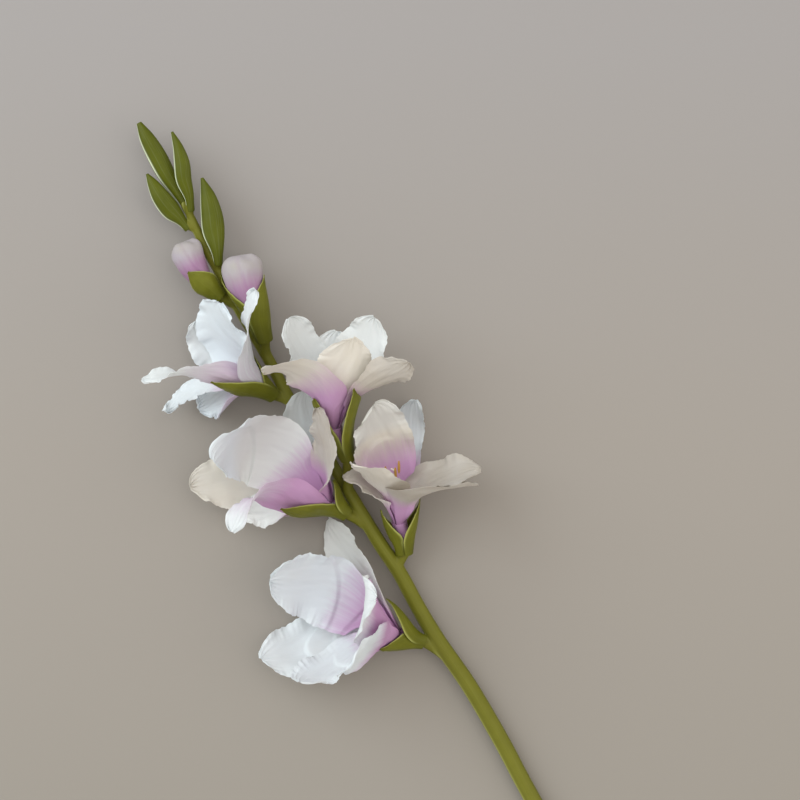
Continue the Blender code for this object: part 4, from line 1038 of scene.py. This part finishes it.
def green_buds(material):
    for q, (name, points) in enumerate(GREEN_BUDS):
        rows, sides = 72, 56
        pts = [np.append(at(x, y, h), (rx, ry)) for x, y, h, rx, ry in points]
        c = through(pts, rows)
        k = np.linspace(0, 1, rows)
        c[:, 3:5] += (1.3 * np.exp(-((k / 0.09) ** 2)))[:, None]
        r = rings(c[:, :3], np.array([0, 0, 1.0]), c[:, 3], c[:, 4], sides)
        a = np.linspace(0, 2 * math.pi, sides, endpoint=False)
        A, K = np.meshgrid(a, k)
        # the outer bract wraps most of the bud: its margin is a step that runs from foot to tip
        line = math.pi * (0.93 + 0.05 * np.sin(3.0 * K + q)) - 0.30 * (1 - K)
        x = (A - line + math.pi) % (2 * math.pi) - math.pi
        step = 0.05 * smooth((x + 0.08) / 0.08) * (1 - smooth((x - 0.2) / 2.2))
        keel = 0.07 * np.exp(-((((A + math.pi / 2 + math.pi) % (2 * math.pi) - math.pi) / 0.3) ** 2))
        r = c[:, None, :3] + (r - c[:, None, :3]) * (1 + (step + keel - 0.04) * smooth(K / 0.1))[..., None]
        verts, faces = closed_rings(r)
        # painted highlight: a bright line along the overlapping margin on the bud's lit left side; painted shadow: a
        # dark line just below that margin; a little darker towards the tip
        pale = np.exp(-(((x - 0.05) / 0.14) ** 2)) * smooth(K / 0.1)
        shade = 0.5 * np.exp(-(((x + 0.20) / 0.12) ** 2)) + 0.15 * smooth((K - 0.85) / 0.15)
        uv = np.stack([np.append(A.ravel() / (2 * math.pi), [0, 0]) * 2, np.append(K.ravel(), [0, 1])], 1)
        me = new_mesh(f"{name}_skin", verts, faces,
                      {"pale": np.append(np.clip(pale, 0, 1), [0, 0]), "shade": np.append(np.clip(shade, 0, 1), [0, 0])}, uv)
        piece(f"green_{name}", me, material, "bract_green", name)


def stem(material):
    """The stalk with its side stalks, joined by a fine remesh so that they flow into each other."""
    rows, sides = 260, 30
    pts = [np.append(at(x, y, h), r) for x, y, h, r in STEM]
    c = through(pts, rows)
    a = np.linspace(0, 2 * math.pi, sides, endpoint=False)
    r = rings(c[:, :3], np.array([0, 0, 1.0]), c[:, 3], c[:, 3], sides)
    verts, faces = closed_rings(r)
    verts, faces = list(verts), list(faces)
    def add(path, wide):
        v2, f2 = closed_rings(rings(path, np.array([0, 0, 1.0]), wide, wide, 20))
        o = len(verts)
        verts.extend(v2)
        faces.extend([tuple(q + o for q in face) for face in f2])

    k = np.linspace(0, 1, 24)
    for f in FLORETS + OPENING_BUDS:
        node, base = at(*f["node"]), at(*f["base"])
        d = unit(base - node)
        add(node + (base + d * 1.0 - node) * k[:, None], 3.0 + 0.6 * k + 1.2 * np.exp(-((k * 3.0) ** 2)))
        # a green cup between the feet of the bracts
        if "mouth" in f:
            path = tube_path(f, 28)
            upto = np.linspace(0, 0.34 * 27, 16)
            inner = spline(path, upto)
            r_in = TUBE_FOOT_R + (TUBE_MOUTH_R - TUBE_FOOT_R) * smooth(upto / 27)
            add(np.concatenate([(base + d * 0.2)[None], inner]), np.append(3.4, np.maximum(r_in + 0.5, 2.6)))
    for _, points in GREEN_BUDS:
        foot = at(*points[0][:3])
        ahead = at(*points[1][:3])
        near_ = c[((c[:, :3] - foot) ** 2).sum(1).argmin()]
        root = near_[:3] - unit(ahead - foot) * 3.0
        stop = foot + (ahead - foot) * 0.62
        add(root + (stop - root) * k[:, None], np.minimum(near_[3], 2.4) * (0.95 + 0.25 * np.sin(math.pi * k)))
    me = new_mesh("stalk_raw", verts, faces)
    raw = bpy.data.objects.new("stalk_raw", me)
    bpy.context.scene.collection.objects.link(raw)
    mod = raw.modifiers.new("remesh", "REMESH")
    mod.mode, mod.voxel_size, mod.adaptivity = "VOXEL", 0.0008, 0.0
    mod2 = raw.modifiers.new("soften", "SMOOTH")
    mod2.factor, mod2.iterations = 0.5, 6
    dg = bpy.context.evaluated_depsgraph_get()
    skin = bpy.data.meshes.new_from_object(raw.evaluated_get(dg))
    bpy.data.objects.remove(raw, do_unlink=True)
    co = np.empty(len(skin.vertices) * 3, np.float32)
    skin.vertices.foreach_get("co", co)
    co = co.reshape(-1, 3).astype(float) * 1000
    # place along and around the stalk for each point
    near = np.empty(len(co), int)
    for lo in range(0, len(co), 4000):
        part = co[lo : lo + 4000]
        near[lo : lo + 4000] = ((part[:, None] - c[None, :, :3]) ** 2).sum(2).argmin(1)
    t = tangents(c[:, :3])
    up = np.array([0, 0, 1.0]) - t * t[:, 2:3]
    up /= np.linalg.norm(up, axis=1, keepdims=True)
    side = np.cross(t, up)
    off = co - c[near, :3]
    ang = np.arctan2((off * up[near]).sum(1), (off * side[near]).sum(1))
    out = np.linalg.norm(off - (off * t[near]).sum(1)[:, None] * t[near], axis=1)
    free = np.clip((out - c[near, 3]) / 2.0, 0, 1)
    # faint lengthwise ridges on the stalk itself
    ridge = 0.05 * np.cos(9 * ang + 3.0 * near / rows) * (1 - free)
    co += (off - (off * t[near]).sum(1)[:, None] * t[near]) / np.maximum(out, 0.1)[:, None] * ridge[:, None]
    end = near == 0
    co[end & (off[:, :] @ t[0] < -0.2)] += t[0] * 0.0
    # painted highlight: a pale line along the stalk's lit left side; the cut end is paler too
    pale = 0.75 * np.exp(-(((np.abs(ang) - 2.75) / 0.20) ** 2)) * (1 - free)
    cut = (near <= 1) & (out < c[near, 3] - 0.7)
    shade = 0.12 * free
    co[:, 2] = np.maximum(co[:, 2], 0.02)
    skin.vertices.foreach_set("co", (co * 0.001).astype(np.float32).ravel())
    for key, val in (("pale", np.where(cut, 1.0, pale)), ("shade", shade)):
        at_ = skin.attributes.new(key, "FLOAT", "POINT")
        at_.data.foreach_set("value", val.astype(np.float32))
    layer = skin.uv_layers.new(name="leaf")
    idx = np.empty(len(skin.loops), int)
    skin.loops.foreach_get("vertex_index", idx)
    uv = np.stack([0.5 + ang / (2 * math.pi), near / rows * 9.0], 1)[idx]
    layer.data.foreach_set("uv", uv.astype(np.float32).ravel())
    skin.shade_smooth()
    piece("stalk", skin, material, "stem_green", "stem")


# --------------------------------------------------------------- the surrounds
def floor():
    me = bpy.data.meshes.new("floor")
    me.from_pydata([(-14, -14, 0), (14, -14, 0), (14, 14, 0), (-14, 14, 0)], [], [(0, 1, 2, 3)])
    ob = bpy.data.objects.new("floor", me)
    bpy.context.scene.collection.objects.link(ob)
    m = Tree("floor_paper")
    place = m.coord.outputs["Object"]
    cloud = m.noise(place, 3.0, 3.0)
    grain = m.noise(place, 900.0, 2.0)
    up = m.node("ShaderNodeVectorMath", operation="DOT_PRODUCT")
    m.link(place, up.inputs[0])
    up.inputs[1].default_value = (math.sin(TURN), math.cos(TURN), 0.0)
    # painted light: the floor is lighter towards the top of the view and darker towards the bottom, with a little
    # cloud
    high = m.math("ADD", up.outputs["Value"], m.math("MULTIPLY", m.math("SUBTRACT", cloud, 0.5), 0.12))
    colour = m.mix(m.remap(high, -0.20, 0.10), FLOOR_PAINTED_DIM, FLOOR_MID)
    colour = m.mix(m.remap(high, 0.10, 0.38), colour, FLOOR_PAINTED_LIT)
    n = m.bump(grain, 0.05, 0.0003)
    me.materials.append(m.finish(colour, m.remap(grain, 0.3, 0.7, 0.75, 0.85), n, specular=0.2))


# painted light: dim, middle and lit floor tones from the bottom of the view to the top
FLOOR_PAINTED_DIM, FLOOR_MID, FLOOR_PAINTED_LIT = (0.290, 0.266, 0.232), (0.314, 0.286, 0.256), (0.318, 0.300, 0.292)


def light(name, where, aim, size, power, colour):
    data = bpy.data.lights.new(name, "AREA")
    data.shape, data.size, data.energy, data.color = "DISK", size, power, colour
    ob = bpy.data.objects.new(name, data)
    bpy.context.scene.collection.objects.link(ob)
    ob.location = where
    ob.rotation_mode = "QUATERNION"
    ob.rotation_quaternion = (Vector(aim) - Vector(where)).to_track_quat("-Z", "Y")
    ob.visible_camera = False
    return ob


def surrounds():
    floor()
    cx, cy = -CENTRE[0] * 0.001, -CENTRE[1] * 0.001
    c, s = math.cos(TURN), math.sin(TURN)

    def place(right, up, high):
        # layout right and up as directions in the part's frame
        return (cx + right * c + up * s, cy - right * s + up * c, high)

    light("key", place(-1.7, 0.9, 1.5), (cx, cy, 0), 2.2, 33.0, (0.86, 0.95, 1.0))
    light("fill", place(1.8, -0.3, 1.5), (cx, cy, 0), 2.0, 10.0, (1.0, 0.93, 0.84))
    light("top", place(0.2, 0.6, 2.6), (cx, cy, 0), 2.4, 16.0, (1.0, 0.99, 0.97))
    world = bpy.data.worlds.new("studio")
    bpy.context.scene.world = world
    world.use_nodes = True
    bg = world.node_tree.nodes["Background"]
    bg.inputs[0].default_value = (0.93, 0.905, 0.87, 1)
    bg.inputs[1].default_value = 0.84
    cam = bpy.data.cameras.new("camera")
    cam.sensor_width = 36.0
    cam.lens = 36.0 * (EYE / GRID) / 800.0
    cam.clip_start, cam.clip_end = 0.05, 60.0
    ob = bpy.data.objects.new("camera", cam)
    bpy.context.scene.collection.objects.link(ob)
    ob.location = (cx, cy, (EYE_REF + EYE - DROP) * 0.001)
    ob.rotation_euler = (0, 0, -TURN)
    bpy.context.scene.camera = ob
    bpy.context.scene.view_settings.view_transform = "Standard"


petal = petal_material("petal_white_lilac")
tepals(petal)
tubes(petal_material("petal_throat", through=0.12))
bract_look = green_material("bract_green_waxy", (0.160, 0.164, 0.014), (0.46, 0.48, 0.14), (0.080, 0.086, 0.006), 30.0)
bracts(bract_look)
# the pale colour of the buds is the painted highlight along their lit left side
bud_look = green_material("bud_green_waxy", (0.092, 0.105, 0.004), (0.74, 0.80, 0.58), (0.054, 0.064, 0.004), 22.0)
green_buds(bud_look)
stem(green_material("stem_green_waxy", (0.162, 0.160, 0.018), (0.44, 0.46, 0.13), (0.120, 0.120, 0.013), 34.0, gloss=0.42))
stamens(stamen_material("anther_ochre"))
opening_buds(bud_petal_material("furled_petal"))
surrounds()
